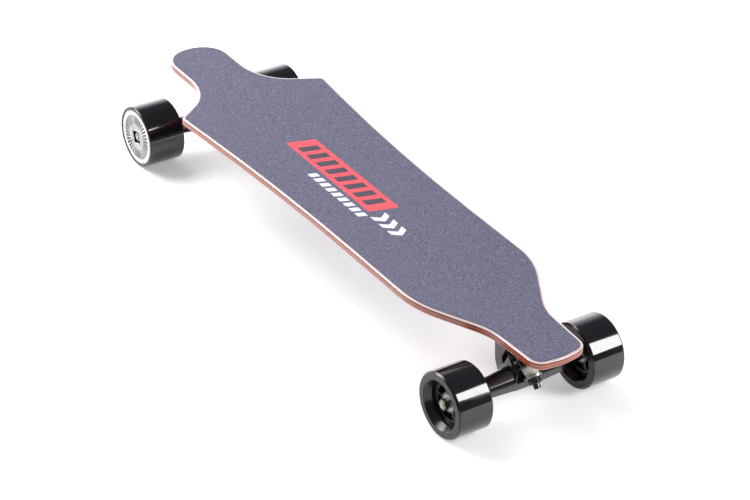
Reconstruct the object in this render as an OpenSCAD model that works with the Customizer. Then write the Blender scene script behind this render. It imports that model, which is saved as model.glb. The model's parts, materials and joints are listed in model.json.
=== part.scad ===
// Electric longboard: a cut-away deck on two reverse-kingpin trucks, with a motor inside each
// rear wheel, and the battery and motor controller in a tub under the deck.
// The front points along +X, left is +Y, and the wheels stand on the plane z = 0.
// The origin is on that plane, under the middle of the deck's length. All sizes are in mm.

/* [Deck] */
// Distance between the two axles
wheelbase = 762; // [680:1:860]
// Length of deck past the front axle
front_overhang = 76; // [70:1:95]
// Length of deck past the rear axle
rear_overhang = 81; // [75:1:100]
// Width across the rear shoulders, at the corners before they are rounded
shoulder_width = 237; // [210:1:260]
// Width of the parallel part, from the middle to the front shoulders
waist_width = 194; // [175:1:205]
// Width of the rear neck
rear_neck_width = 90; // [80:1:96]
// Width of the front neck where the flare ends
front_neck_width = 89; // [80:1:94]
// Width of the front end at its corners
front_end_width = 80; // [70:1:86]
// Thickness of the pressed plies
deck_thickness = 11; // [9:0.5:14]
// Radius of the concave, across the board
concave_radius = 650; // [450:10:1200]
// Thickness of the grip tape
grip_thickness = 0.8; // [0.5:0.1:1.5]
// How far the grip tape stops short of the deck's edge
grip_inset = 4; // [1:0.1:6]

/* [Trucks] */
// Angle of the steering axis above the ground
steer_angle = 45; // [40:1:50]
// How far a truck turns on its steering axis, each way
steer_range = 15; // [8:1:18]
// Height of a truck, from its axle to the top of its baseplate
truck_height = 58; // [56:0.5:62]
// Thickness of the riser pads
riser_thickness = 3; // [2:0.5:6]
// Length of a baseplate
baseplate_length = 84; // [78:1:92]
// Width of a baseplate
baseplate_width = 56; // [52:1:60]
// Thickness of a baseplate's plate
baseplate_thickness = 7; // [5:0.5:9]
// Distance between the truck bolts along the board
bolt_spacing_x = 54; // [50:0.5:64]
// Distance between the truck bolts across the board
bolt_spacing_y = 41.3; // [40:0.1:43]
// Diameter of the truck bolts
bolt_d = 4.8; // [4:0.1:6]
// Diameter of the kingpins
kingpin_d = 9.5; // [8:0.1:10]
// Diameter of the bushings
bushing_d = 22; // [20:0.5:25]
// Height of one bushing
bushing_height = 14; // [12:0.5:16]
// Thickness of the hanger's ring
ring_thickness = 11; // [9:0.5:13]
// Outer diameter of the hanger's ring
ring_d = 34; // [31:0.5:38]
// Width of the front hanger, shoulder to shoulder
hanger_width = 180; // [165:1:200]
// Diameter of the pivot nose
pivot_d = 13; // [11:0.5:15]

/* [Front wheels] */
// Diameter of all four wheels
wheel_d = 90; // [83:1:97]
// Width of a front wheel
front_wheel_width = 52; // [46:1:58]
// Diameter of the opening in a front wheel's side
wheel_opening_d = 68; // [60:1:74]
// Diameter of the wheel's core
core_d = 54; // [48:1:58]
// Number of spokes in the core
core_spokes = 6; // [4:1:8]
// Diameter of the front axle
axle_d = 8; // [7:0.5:8.5]
// Outer diameter of a wheel bearing
bearing_od = 22; // [20:0.5:24]
// Width of a wheel bearing
bearing_w = 7; // [6:0.5:8]
// Length of the spacer between the bearings of a wheel
spacer_length = 10; // [8:0.5:12]

/* [Rear wheels] */
// Width of a rear wheel
rear_wheel_width = 56; // [54:1:60]
// Outer diameter of the motor
motor_d = 80; // [76:1:82]
// Number of air slots in the motor's cover
cover_slots = 36; // [12:1:40]
// Number of teeth on the stator
stator_teeth = 12; // [9:3:12]
// Number of magnets in the rotor
magnet_count = 14; // [10:2:16]
// Diameter of the rear axle inside the hanger and the stator
motor_axle_d = 12; // [10:0.5:13]
// Outer diameter of the motor's inner bearing
motor_bearing_od = 28; // [26:1:30]

/* [Electronics] */
// Distance from the rear axle to the electronics tub
tub_rear_in = 116.5; // [108:0.5:130]
// Distance from the front axle to the electronics tub
tub_front_in = 169.5; // [120:0.5:180]
// Width of the tub outside
tub_width = 132; // [128:1:140]
// Depth of the tub below the deck
tub_depth = 32; // [30:1:36]
// Wall of the tub
tub_wall = 3; // [2:0.5:4]
// Diameter of the power button
button_d = 12; // [10:0.5:14]
// Travel of the power button
button_travel = 1.2; // [0.8:0.1:1.5]
// Inner diameter of the charging socket's mouth
socket_bore_d = 12.6; // [11:0.1:13]

/* [Hidden] */
$fn = 64;

// Clearances
eps = 0.05;          // between pieces of one body that are bolted or glued together
body_gap = 0.3;      // between pieces that move past each other
end_play = 0.15;     // along an axle, beside a bearing
running_gap = 0.04;  // between a shaft and what turns on it
hole_gap = 0.2;      // around a bolt in its hole

// Places along and above the board
deck_length = wheelbase + front_overhang + rear_overhang;
front_axle_x = deck_length / 2 - front_overhang;
rear_axle_x = rear_overhang - deck_length / 2;
axle_z = wheel_d / 2;
baseplate_top = axle_z + truck_height;
deck_bottom = baseplate_top + riser_thickness;
deck_top = deck_bottom + deck_thickness;
edge_lift = 40;          // more than the concave raises the deck's edges

// Deck outline: distances of its corners from the nearer axle, and the radii of the corners
rear_flare_in = 50;
shoulder_in = 110;
waist_x = -40;
front_shoulder_in = 109;
front_flare_in = 18;
front_corner_back = 4;
flare_radius = 98;
shoulder_radius = 11;
waist_radius = 3590;
front_shoulder_radius = 120;
front_flare_radius = 85;
front_corner_radius = 18;
front_tip_radius = 110;
front_tip_out = 0.8;
rear_end_flat = 2;
arc_step = 5;
curve_fn = 256;

// Truck, measured from its axle: x points away from the middle of the board, z up
ring_x = 6;
ring_z = 24;
washer_base = 1.5;
washer_rim = 3;
washer_d = bushing_d + 3;
kingpin_nut_af = 14.3;
kingpin_nut_h = 8.5;
kingpin_end = ring_thickness / 2 + bushing_height + washer_base + kingpin_nut_h + 7;
kingpin_seat = ring_thickness / 2 + bushing_height + washer_base + 2 * eps;
kingpin_head_h = 6;
kingpin_grip = 11;        // from the upper cup to the kingpin's head
kingpin_head_d = 16;
kingpin_boss_d = 30;
ring_bore_d = kingpin_d + 4.5;
axle_behind = 21.2;       // from the kingpin to the axle, along the steering axis
nose_start = 12;          // nose and cup, measured from the axle along the steering axis
cup_start = 12.5;
nose_end = 24;
cup_wall = 3.5;
lobe_wall = 4;
lobe_end = 30;
web_width = 20;
plate_out = 26;           // how far a baseplate reaches past its axle
bolt_centre = plate_out - baseplate_length / 2;
plate_corner = 10;
bolt_head_d = 9.4;
bolt_head_h = 2.8;
bolt_key_af = 3;
bolt_nut_af = 8;
bolt_nut_h = 4.5;
shoulder_d = 16;
arm_root_y = 13;

// Wheels, measured from the wheel's middle: z points away from the board
speed_washer = 0.8;
bearing_out = spacer_length / 2 + bearing_w;
half_track = hanger_width / 2 + speed_washer + bearing_out + 3 * end_play;
axle_nut_af = 13;
axle_nut_h = 8;
axle_tip = 1;
core_rim = 3.5;
core_hub_wall = 3;
tread_bevel = 2.5;
tyre_lip = 1;
rear_tread_bevel = 1.5;
cover_thickness = 3;
can_wall = 3.5;
can_end = 3.5;
can_in = rear_wheel_width / 2 - 1.5;
cover_out = rear_wheel_width / 2 - 1;
cover_in = cover_out - cover_thickness;
motor_nut_h = 6.5;
motor_bearing_w = 8;
inner_bearing_z = -can_in + 1.5;
outer_bearing_z = 11.5;
cover_boss_wall = 3;
stator_z = [-13, 11];
coil_overhang = 3;
air_gap = 0.6;
magnet_t = 2.6;
screw_ring = (motor_d - can_wall) / 2 - hole_gap;
cover_screw_count = 6;
cover_screw_d = 2;
cover_screw_head_d = 3.2;
cover_screw_length = 10;
rear_arm_end = half_track - can_in - 9;
cable_r = 3;
cable_y = 72;

// Tub
tub_rear_x = rear_axle_x + tub_rear_in;
tub_front_x = front_axle_x - tub_front_in;
tub_length = tub_front_x - tub_rear_x;
tub_floor = deck_bottom - tub_depth;
tub_corner = 22;
tub_edge = 8;
flange_w = 11;
flange_t = 4;
gasket_t = 1.5;
tub_screw_d = 4;
tub_screw_head_d = 7;
tub_screw_head_h = 2.2;
tub_screw_grip = 7;
tub_screw_count = 6;
side_y = -tub_width / 2;
cell_d = 18.4;
cell_length = 65;
cell_columns = 5;
cell_pitch = cell_d + 0.2;
row_pitch = cell_length + 0.4;
controller_x = tub_rear_x + 26;
controller_size = [124, 96, 18];
board_x = controller_x + controller_size.x + 10;
board_size = [32, 90, 1.6];
battery_x = board_x + board_size.x + 8;
cell_rows = floor((tub_front_x - tub_wall - battery_x) / row_pitch);
screw_pitch = (tub_length + flange_w) / tub_screw_count;
socket_x = tub_rear_x - flange_w / 2 + screw_pitch;    // halfway between the first two screws
button_x = socket_x + screw_pitch / 2;
port_z = tub_floor + 16;
socket_flange_d = 20;
cap_t = 2;
hinge_r = 1.2;
barrel_r = 1.9;
hinge_up = 11.5;
hinge_out = 4.1;
socket_wall = 1.7;
socket_nut_wall = 0.6;
socket_lip = 1.8;         // how far the socket's flange stands proud of the tub
socket_deep = 3.6;        // depth of the mouth ahead of the contact pins
socket_back = 9;          // from the tub's side to the back of the pins
socket_end = 14;
ear_x = 6.5;
ear_w = 2;
barrel_length = 9.8;
button_rim = 1.4;
gland_y = 38;
gland_z = deck_bottom - 14;
gland_af = 13;
gland_hole_d = 10;

// ---- shapes that repeat ----

function unit(v) = v / norm(v);
function turned(v, a) = [v.x * cos(a) - v.y * sin(a), v.x * sin(a) + v.y * cos(a)];

// Points that round one corner of an outline; a radius is limited by the sides beside it
function corner_arc(before, corner, after) =
    let (p = [corner.x, corner.y],
         to_before = [before.x, before.y] - p,
         to_after = [after.x, after.y] - p,
         half = acos(unit(to_before) * unit(to_after)) / 2,
         tangent = min(corner.z / tan(half), 0.75 * min(norm(to_before), norm(to_after))),
         centre = p + unit(unit(to_before) + unit(to_after)) * tangent / cos(half),
         start = p + unit(to_before) * tangent - centre,
         end = p + unit(to_after) * tangent - centre,
         sweep = (180 - 2 * half) * sign(cross(start, end)),
         steps = max(6, ceil(abs(sweep) / arc_step)))
    [for (i = [0 : steps]) centre + turned(start, sweep * i / steps)];

function rounded_outline(corners) =
    let (n = len(corners))
    [for (i = [0 : n - 1]) each corner_arc(corners[(i + n - 1) % n], corners[i], corners[(i + 1) % n])];

// A clockwise outline moved inwards
function inset(points, distance) =
    let (n = len(points))
    [for (i = [0 : n - 1])
        let (along = unit(points[(i + 1) % n] - points[(i + n - 1) % n]))
        points[i] + distance * [along.y, -along.x]];

half_corners = [
    [-deck_length / 2, rear_neck_width / 2, rear_neck_width / 2 - rear_end_flat],
    [rear_axle_x + rear_flare_in, rear_neck_width / 2, flare_radius],
    [rear_axle_x + shoulder_in, shoulder_width / 2, shoulder_radius],
    [waist_x, waist_width / 2, waist_radius],
    [front_axle_x - front_shoulder_in, waist_width / 2, front_shoulder_radius],
    [front_axle_x - front_flare_in, front_neck_width / 2, front_flare_radius],
    [deck_length / 2 - front_corner_back, front_end_width / 2, front_corner_radius]];
deck_corners = concat(half_corners, [[deck_length / 2 + front_tip_out, 0, front_tip_radius]],
    [for (i = [len(half_corners) - 1 : -1 : 0])
        [half_corners[i].x, -half_corners[i].y, half_corners[i].z]]);
deck_outline = rounded_outline(deck_corners);

// Height of the deck's underside at a distance from the centre line
function underside(y) =
    deck_top + concave_radius - sqrt(pow(concave_radius + deck_thickness, 2) - y * y);

// A curved sheet that follows the concave, between two depths below the deck's top face
module curved_sheet(from, to) {
    translate([0, 0, deck_top + concave_radius]) rotate([0, 90, 0]) difference() {
        cylinder(r = concave_radius + to, h = deck_length + 40, center = true, $fn = curve_fn);
        cylinder(r = concave_radius + from, h = deck_length + 60, center = true, $fn = curve_fn);
    }
}

// Everything below a curved face at a depth below the deck's top face
module below_sheet(depth) {
    difference() {
        children();
        translate([0, 0, deck_top + concave_radius]) rotate([0, 90, 0])
            cylinder(r = concave_radius + depth, h = deck_length + 60, center = true, $fn = curve_fn);
    }
}

module plate_outline(length, width, radius) {
    polygon(rounded_outline([[-length / 2, width / 2, radius], [length / 2, width / 2, radius],
        [length / 2, -width / 2, radius], [-length / 2, -width / 2, radius]]));
}

module tube(r_out, r_in, z0, z1) {
    translate([0, 0, z0]) difference() {
        cylinder(r = r_out, h = z1 - z0);
        translate([0, 0, -1]) cylinder(r = r_in, h = z1 - z0 + 2);
    }
}

module cylinder_between(r, z0, z1) { translate([0, 0, z0]) cylinder(r = r, h = z1 - z0); }

module hex(across_flats, h) { cylinder(d = across_flats / cos(30), h = h, $fn = 6); }

module nut(across_flats, bore_d, h) {
    difference() {
        hex(across_flats, h);
        translate([0, 0, -1]) cylinder(d = bore_d, h = h + 2);
    }
}

module at_truck(front) {
    translate([front ? front_axle_x : rear_axle_x, 0, axle_z]) rotate([0, 0, front ? 0 : 180]) children();
}

// On the kingpin: z runs down it from the middle of the hanger's ring
module on_kingpin() { translate([ring_x, 0, ring_z]) rotate([0, 180 - steer_angle, 0]) children(); }

// On the steering axis: z runs down towards the pivot, from the point nearest the axle
module on_steer_axis() {
    translate([ring_x, 0, ring_z]) rotate([0, -90 - steer_angle, 0])
        translate([0, 0, axle_behind]) children();
}

module at_wheel(front, side) {
    translate([front ? front_axle_x : rear_axle_x, side * half_track, axle_z])
        rotate([-90 * side, 0, 0]) children();
}

// At the four bolts of one truck, in the truck's own frame
module at_plate_bolts() {
    for (sx = [-1, 1], sy = [-1, 1])
        translate([bolt_centre + sx * bolt_spacing_x / 2, sy * bolt_spacing_y / 2, 0]) children();
}

// At all eight bolts, measured from the ground
module at_bolts() {
    for (front = [true, false])
        at_truck(front) translate([0, 0, -axle_z]) at_plate_bolts() children();
}

module at_cover_screws() {
    for (i = [0 : cover_screw_count - 1]) rotate([0, 0, 360 * i / cover_screw_count])
        translate([screw_ring, 0, 0]) children();
}

module at_tub_screws() {
    for (i = [0 : tub_screw_count - 1], sy = [-1, 1])
        translate([tub_rear_x - flange_w / 2 + screw_pitch * (i + 0.5),
            sy * (tub_width / 2 + flange_w / 2), 0]) children();
}

// ---- deck ----

module deck() {
    color("firebrick") difference() {
        intersection() {
            translate([0, 0, deck_bottom - 1]) linear_extrude(deck_thickness + edge_lift) polygon(deck_outline);
            curved_sheet(0, deck_thickness);
        }
        at_bolts() {
            translate([0, 0, deck_bottom - 2]) cylinder(d = bolt_d + 2 * hole_gap, h = deck_thickness + 4);
            translate([0, 0, deck_top - bolt_head_h - eps])
                cylinder(d1 = bolt_d + 2 * hole_gap, d2 = bolt_head_d + 2 * hole_gap, h = bolt_head_h);
            translate([0, 0, deck_top - 2 * eps]) cylinder(d = bolt_head_d + 2 * hole_gap, h = 4);
        }
        at_tub_screws() translate([0, 0, deck_bottom - 2])
            cylinder(d = tub_screw_d + 2 * eps, h = tub_screw_grip + 6);
    }
}

// One sheet, which also covers the heads of the truck bolts
module grip_tape() {
    color("dimgray") intersection() {
        translate([0, 0, deck_bottom]) linear_extrude(deck_thickness + edge_lift)
            polygon(inset(deck_outline, grip_inset));
        curved_sheet(-grip_thickness, -eps);
    }
}

module riser_pad(front) {
    color("black") at_truck(front) difference() {
        translate([bolt_centre, 0, baseplate_top - axle_z + eps]) linear_extrude(riser_thickness - 2 * eps)
            plate_outline(baseplate_length, baseplate_width, plate_corner);
        at_plate_bolts() translate([0, 0, baseplate_top - axle_z - 1])
            cylinder(d = bolt_d + 2 * hole_gap, h = riser_thickness + 2);
    }
}

module truck_bolts() {
    color("#1a1a1a") at_bolts() difference() {
        union() {
            translate([0, 0, baseplate_top - baseplate_thickness - bolt_nut_h - 2])
                cylinder(d = bolt_d, h = deck_top - baseplate_top + baseplate_thickness + bolt_nut_h);
            translate([0, 0, deck_top - bolt_head_h])
                cylinder(d1 = bolt_d, d2 = bolt_head_d, h = bolt_head_h);
        }
        translate([0, 0, deck_top - 1.6]) hex(bolt_key_af, 4);
    }
}

module truck_nuts() {
    color("silver") at_bolts()
        translate([0, 0, baseplate_top - baseplate_thickness - bolt_nut_h - eps])
            nut(bolt_nut_af, bolt_d + 2 * eps, bolt_nut_h);
}

// ---- trucks ----

module baseplate(front) {
    plate_z = baseplate_top - axle_z;
    color("#202020") at_truck(front) difference() {
        union() {
            translate([bolt_centre, 0, plate_z - baseplate_thickness])
                linear_extrude(baseplate_thickness)
                    plate_outline(baseplate_length, baseplate_width, plate_corner);
            // boss that the kingpin leans out of
            intersection() {
                on_kingpin() translate([0, 0, -60]) cylinder(d = kingpin_boss_d, h = 60 - kingpin_seat);
                translate([-60, -30, -40]) cube([120, 60, 40 + plate_z - 1]);
            }
            // web down to the pivot
            rotate([90, 0, 0]) linear_extrude(web_width, center = true)
                polygon([[-54, plate_z - 2], [-18, plate_z - 2], [-24, 31], [-32, 13],
                    [-29, -3], [-40, -14], [-47, 0]]);
            on_steer_axis() translate([0, 0, cup_start])
                cylinder(d = pivot_d + 2 * (cup_wall + lobe_wall), h = lobe_end - cup_start);
        }
        on_steer_axis() translate([0, 0, cup_start - 1])
            cylinder(d = pivot_d + 2 * cup_wall + 2 * eps, h = nose_end + cup_wall - cup_start + 1 + eps);
        on_kingpin() {
            translate([0, 0, -70]) cylinder(d = kingpin_d + 2 * eps, h = 60);
            translate([0, 0, -80]) cylinder(d = kingpin_head_d + 4 * eps, h = 80 - kingpin_seat - kingpin_grip);
        }
        at_plate_bolts() translate([0, 0, plate_z - 15]) cylinder(d = bolt_d + 2 * hole_gap, h = 20);
    }
}

module pivot_cup(front) {
    color("ivory") at_truck(front) on_steer_axis() difference() {
        translate([0, 0, cup_start]) cylinder(d = pivot_d + 2 * cup_wall, h = nose_end + cup_wall - cup_start);
        translate([0, 0, cup_start - 1])
            cylinder(d = pivot_d + 2 * running_gap, h = nose_end - pivot_d / 2 - cup_start + 1);
        translate([0, 0, nose_end - pivot_d / 2]) sphere(d = pivot_d + 2 * running_gap);
    }
}

module kingpin(front) {
    color("dimgray") at_truck(front) on_kingpin() {
        translate([0, 0, -kingpin_seat - kingpin_grip])
            cylinder(d = kingpin_d, h = kingpin_seat + kingpin_grip + kingpin_end);
        translate([0, 0, -kingpin_seat - kingpin_grip - kingpin_head_h])
            hex(kingpin_head_d * cos(30), kingpin_head_h);
    }
}

module kingpin_nut(front) {
    color("dimgray") at_truck(front) on_kingpin()
        translate([0, 0, ring_thickness / 2 + bushing_height + washer_base + 4 * eps])
            nut(kingpin_nut_af, kingpin_d + 2 * eps, kingpin_nut_h);
}

module board_bushing(front) {
    ring_face = -ring_thickness / 2 - eps;
    color("ivory") at_truck(front) on_kingpin()
        tube(bushing_d / 2, kingpin_d / 2 + 2 * eps, ring_face - bushing_height, ring_face);
}

module road_bushing(front) {
    color("ivory") at_truck(front) on_kingpin() difference() {
        translate([0, 0, ring_thickness / 2 + eps])
            cylinder(d1 = bushing_d, d2 = bushing_d - 5, h = bushing_height);
        cylinder(d = kingpin_d + 4 * eps, h = 60, center = true);
    }
}

// Two cups, one on each outer end of the bushings
module cup_washers(front) {
    color("silver") at_truck(front) on_kingpin() for (way = [-1, 1])
        translate([0, 0, way * (ring_thickness / 2 + bushing_height + washer_base + eps)])
            rotate([way < 0 ? 0 : 180, 0, 0]) rotate_extrude()
                polygon([[kingpin_d / 2 + 2 * eps, -eps], [washer_d / 2, -eps], [washer_d / 2, washer_rim],
                    [bushing_d / 2 + 4 * eps, washer_rim], [bushing_d / 2 + 4 * eps, washer_base - eps],
                    [kingpin_d / 2 + 2 * eps, washer_base - eps]]);
}

// One arm of a hanger: section at the root and at the tip, as [x, z, corner radius]
arm_root = [[-14, -14, 4], [-13, 15, 6], [-3, 19, 5], [9, 6, 3], [12, 0, 2], [9, -15, 4]];
arm_tip = [[-10, -11, 4], [-9, 9, 5], [-1, 12, 4], [8, 4, 3], [10, 0, 2], [8, -11, 4]];

module arm_slice(section, y) {
    translate([0, y + 0.5, 0]) rotate([90, 0, 0]) linear_extrude(0.5) polygon(rounded_outline(section));
}

// Room on both sides of the ring for the bushings, their cups and the nut, as the hanger turns
module steer_room() {
    near = washer_d / 2 + 1;
    reach = 50;
    far = near + reach * tan(steer_range + 1);
    for (way = [0, 1]) mirror([0, 0, way]) translate([0, 0, ring_thickness / 2])
        rotate([90, 0, 90]) linear_extrude(2 * near, center = true)
            polygon([[-near, 0], [near, 0], [far, reach], [-far, reach]]);
}

module hanger(front) {
    arm_end = front ? half_track - front_wheel_width / 2 - body_gap - 1 : rear_arm_end;
    shoulder = front ? hanger_width / 2 : rear_arm_end + 0.5;
    bore = (front ? axle_d : motor_axle_d) + 2 * eps;
    color("#1c1c1c") at_truck(front) difference() {
        union() {
            on_kingpin() cylinder(d = ring_d, h = ring_thickness, center = true);
            // yoke between the ring, the axle and the pivot nose
            intersection() {
                rotate([90, 0, 0]) linear_extrude(36, center = true)
                    polygon([[-6, 36], [-18, 14], [-14, -14], [9, -14], [12, 0], [10, 8], [14, 18]]);
                on_steer_axis() translate([0, 0, -4]) rotate([0, 0, 90])
                    cube([60, 80, 2 * (nose_start - 1.5)], center = true);
            }
            for (side = [-1, 1]) mirror([0, side < 0 ? 1 : 0, 0]) hull() {
                arm_slice(arm_root, arm_root_y);
                arm_slice(arm_tip, arm_end - 0.5);
            }
            rotate([90, 0, 0]) cylinder(d = shoulder_d, h = 2 * shoulder, center = true);
            on_steer_axis() {
                cylinder_between(pivot_d / 2, nose_start - 8, nose_end - pivot_d / 2);
                translate([0, 0, nose_end - pivot_d / 2]) sphere(d = pivot_d);
            }
        }
        rotate([90, 0, 0]) cylinder(d = bore, h = 240, center = true);
        on_kingpin() {
            cylinder(d = ring_bore_d, h = 30, center = true);
            steer_room();
        }
    }
}

module front_axle() {
    half = half_track + bearing_out + end_play + speed_washer + axle_nut_h + axle_tip;
    color("silver") at_truck(true) rotate([90, 0, 0]) cylinder(d = axle_d, h = 2 * half, center = true);
}

module rear_axle() {
    thick = half_track + outer_bearing_z - end_play;
    thin = half_track + outer_bearing_z + bearing_w + end_play + motor_nut_h + axle_tip;
    color("silver") at_truck(false) difference() {
        rotate([90, 0, 0]) {
            cylinder(d = motor_axle_d, h = 2 * thick, center = true);
            cylinder(d = axle_d, h = 2 * thin, center = true);
        }
        // holes that the motor cables come out of
        for (side = [-1, 1]) translate([0, side * cable_y, 0]) rotate([0, -90, 0])
            cylinder(r = cable_r + 2 * eps, h = motor_axle_d);
    }
}

// ---- front wheels ----

module front_tyre(side) {
    w = front_wheel_width / 2;
    r = wheel_d / 2;
    mouth = wheel_opening_d / 2;
    core_r = core_d / 2 + eps;
    half = [[core_r, 0], [core_r, bearing_out], [core_r + 2, bearing_out + 5], [mouth - 1, w - tyre_lip - 1],
        [mouth, w - tyre_lip], [mouth + tyre_lip, w], [r - tread_bevel, w], [r - 0.5, w - tread_bevel + 0.5],
        [r, w - tread_bevel - 1]];
    color("#111111") at_wheel(true, side) rotate_extrude($fn = 128)
        polygon(concat(half, [for (i = [len(half) - 1 : -1 : 1]) [half[i].x, -half[i].y]]));
}

module front_core(side) {
    hub_r = bearing_od / 2 + core_hub_wall;
    rim_r = core_d / 2 - core_rim;
    color("#181818") at_wheel(true, side) difference() {
        union() {
            tube(core_d / 2, rim_r, -bearing_out, bearing_out);
            tube(hub_r, bearing_od / 2 - 1, -bearing_out, bearing_out);
            for (i = [0 : core_spokes - 1]) rotate([0, 0, 360 * i / core_spokes])
                translate([hub_r - 1, -2.5, -bearing_out + 2])
                    cube([rim_r - hub_r + 2, 5, 2 * bearing_out - 4]);
        }
        for (way = [-1, 1]) translate([0, 0, way * (bearing_out - bearing_w / 2 + 0.5)])
            cylinder(r = bearing_od / 2 + eps, h = bearing_w + 1, center = true);
    }
}

module front_bearings(side) {
    color("silver") at_wheel(true, side) for (way = [-1, 1])
        bearing(way * (bearing_out - bearing_w / 2), bearing_od, axle_d, bearing_w);
}

// A sealed ball bearing, with the grooves beside its shields
module bearing(z, od, bore_d, w) {
    r_in = bore_d / 2 + running_gap;
    groove = 0.5;
    race = min(2, (od - bore_d) / 8);
    translate([0, 0, z]) rotate_extrude() polygon([
        [r_in, -w / 2], [r_in + race, -w / 2], [r_in + race, -w / 2 + groove],
        [od / 2 - race, -w / 2 + groove], [od / 2 - race, -w / 2], [od / 2, -w / 2],
        [od / 2, w / 2], [od / 2 - race, w / 2], [od / 2 - race, w / 2 - groove],
        [r_in + race, w / 2 - groove], [r_in + race, w / 2], [r_in, w / 2]]);
}

module front_spacers() {
    color("silver") for (side = [-1, 1]) at_wheel(true, side)
        tube(axle_d / 2 + 1.8, axle_d / 2 + eps, -spacer_length / 2 + end_play, spacer_length / 2 - end_play);
}

module front_speed_washers() {
    color("silver") for (side = [-1, 1], way = [-1, 1]) at_wheel(true, side)
        translate([0, 0, way * (bearing_out + end_play + speed_washer / 2)])
            tube(axle_d / 2 + 2, axle_d / 2 + eps, -speed_washer / 2, speed_washer / 2);
}

module front_axle_nuts() {
    color("goldenrod") for (side = [-1, 1]) at_wheel(true, side)
        translate([0, 0, bearing_out + end_play + speed_washer + eps])
            nut(axle_nut_af, axle_d + 2 * eps, axle_nut_h);
}

// ---- rear wheels, with their motors ----

module rear_tyre(side) {
    w = rear_wheel_width / 2;
    r = wheel_d / 2;
    bore = motor_d / 2 + eps;
    half = [[bore, w], [r - rear_tread_bevel, w], [r, w - rear_tread_bevel]];
    color("#111111") at_wheel(false, side) rotate_extrude($fn = 128)
        polygon(concat(half, [for (i = [len(half) - 1 : -1 : 0]) [half[i].x, -half[i].y]]));
}

module motor_can(side) {
    boss = motor_bearing_od / 2 + 2.5;
    color("#2a2a2c") at_wheel(false, side) difference() {
        union() {
            tube(motor_d / 2, motor_d / 2 - can_wall, -can_in, cover_in - eps);
            tube(motor_d / 2, motor_axle_d / 2 + 4, -can_in, -can_in + can_end);
            tube(boss, motor_axle_d / 2 + 4, -can_in, inner_bearing_z + motor_bearing_w);
        }
        translate([0, 0, inner_bearing_z - eps]) cylinder(d = motor_bearing_od + 2 * eps, h = 30);
        at_cover_screws() translate([0, 0, cover_out - cover_screw_length - 1])
            cylinder(d = cover_screw_d + 2 * hole_gap, h = cover_screw_length + 2);
    }
}

module motor_cover(side) {
    boss = bearing_od / 2 + cover_boss_wall;
    slot_in = 19.5;
    slot_out = 33;
    nut_room_r = 8.6;
    socket = 17.4;
    socket_turn = 20;
    color("white") at_wheel(false, side) difference() {
        union() {
            cylinder_between(motor_d / 2, cover_in, cover_out);
            cylinder_between(boss, outer_bearing_z, cover_in + 1);
        }
        // bearing seat, the lip in front of it, and the square socket around the axle nut
        cylinder_between(bearing_od / 2 + eps, outer_bearing_z - 1, outer_bearing_z + bearing_w + eps);
        cylinder_between(nut_room_r, outer_bearing_z, cover_out + 1);
        translate([0, 0, outer_bearing_z + bearing_w + 1]) rotate([0, 0, socket_turn]) linear_extrude(20)
            square(socket, center = true);
        for (i = [0 : cover_slots - 1]) rotate([0, 0, 360 * i / cover_slots])
            translate([0, 0, cover_in - 1]) linear_extrude(cover_thickness + 3)
                polygon([[slot_in, -0.6], [slot_out, -1.2], [slot_out, 1.2], [slot_in, 0.6]]);
        at_cover_screws() {
            cylinder_between(cover_screw_d / 2 + hole_gap, cover_in - 1, cover_out + 1);
            translate([0, 0, cover_out - 1.5]) cylinder(h = 1.5 + eps,
                r1 = cover_screw_d / 2 + hole_gap, r2 = cover_screw_head_d / 2 + hole_gap);
        }
    }
}

module cover_screws(side) {
    head_h = 1.4;
    color("silver") at_wheel(false, side) at_cover_screws() translate([0, 0, cover_out - 0.1]) difference() {
        union() {
            translate([0, 0, -cover_screw_length]) cylinder(d = cover_screw_d, h = cover_screw_length - 1);
            translate([0, 0, -head_h]) cylinder(d1 = cover_screw_d, d2 = cover_screw_head_d, h = head_h);
        }
        translate([0, 0, -0.8]) hex(1.6, 2);
    }
}

// A slice of the plane around the x axis, wide enough for a motor
module wedge(angle) {
    polygon([[0, 0], wheel_d * [1, -tan(angle / 2)], wheel_d * [1, tan(angle / 2)]]);
}

module magnets(side) {
    r_out = motor_d / 2 - can_wall - eps;
    width = 320 / magnet_count;
    color("gray") at_wheel(false, side) for (i = [0 : magnet_count - 1]) rotate([0, 0, 360 * i / magnet_count])
        intersection() {
            tube(r_out, r_out - magnet_t, stator_z[0], stator_z[1]);
            translate([0, 0, stator_z[0] - 1]) linear_extrude(stator_z[1] - stator_z[0] + 2)
                wedge(width);
        }
}

module motor_bearings(side) {
    color("silver") at_wheel(false, side) {
        bearing(inner_bearing_z + motor_bearing_w / 2, motor_bearing_od, motor_axle_d, motor_bearing_w);
        bearing(outer_bearing_z + bearing_w / 2, bearing_od, axle_d, bearing_w);
    }
}

stator_r = motor_d / 2 - can_wall - magnet_t - air_gap;
tooth_w = 4;
tooth_in = 15;

module motor_stators() {
    color("slategray") for (side = [-1, 1]) at_wheel(false, side) {
        tube(tooth_in, motor_axle_d / 2 + eps, stator_z[0], stator_z[1]);
        for (i = [0 : stator_teeth - 1]) rotate([0, 0, 360 * i / stator_teeth]) {
            translate([tooth_in - 1, -tooth_w / 2, stator_z[0]])
                cube([stator_r - tooth_in - 1, tooth_w, stator_z[1] - stator_z[0]]);
            intersection() {
                tube(stator_r, stator_r - 3, stator_z[0], stator_z[1]);
                translate([0, 0, stator_z[0] - 1]) linear_extrude(stator_z[1] - stator_z[0] + 2)
                    wedge(300 / stator_teeth);
            }
        }
    }
}

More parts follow.
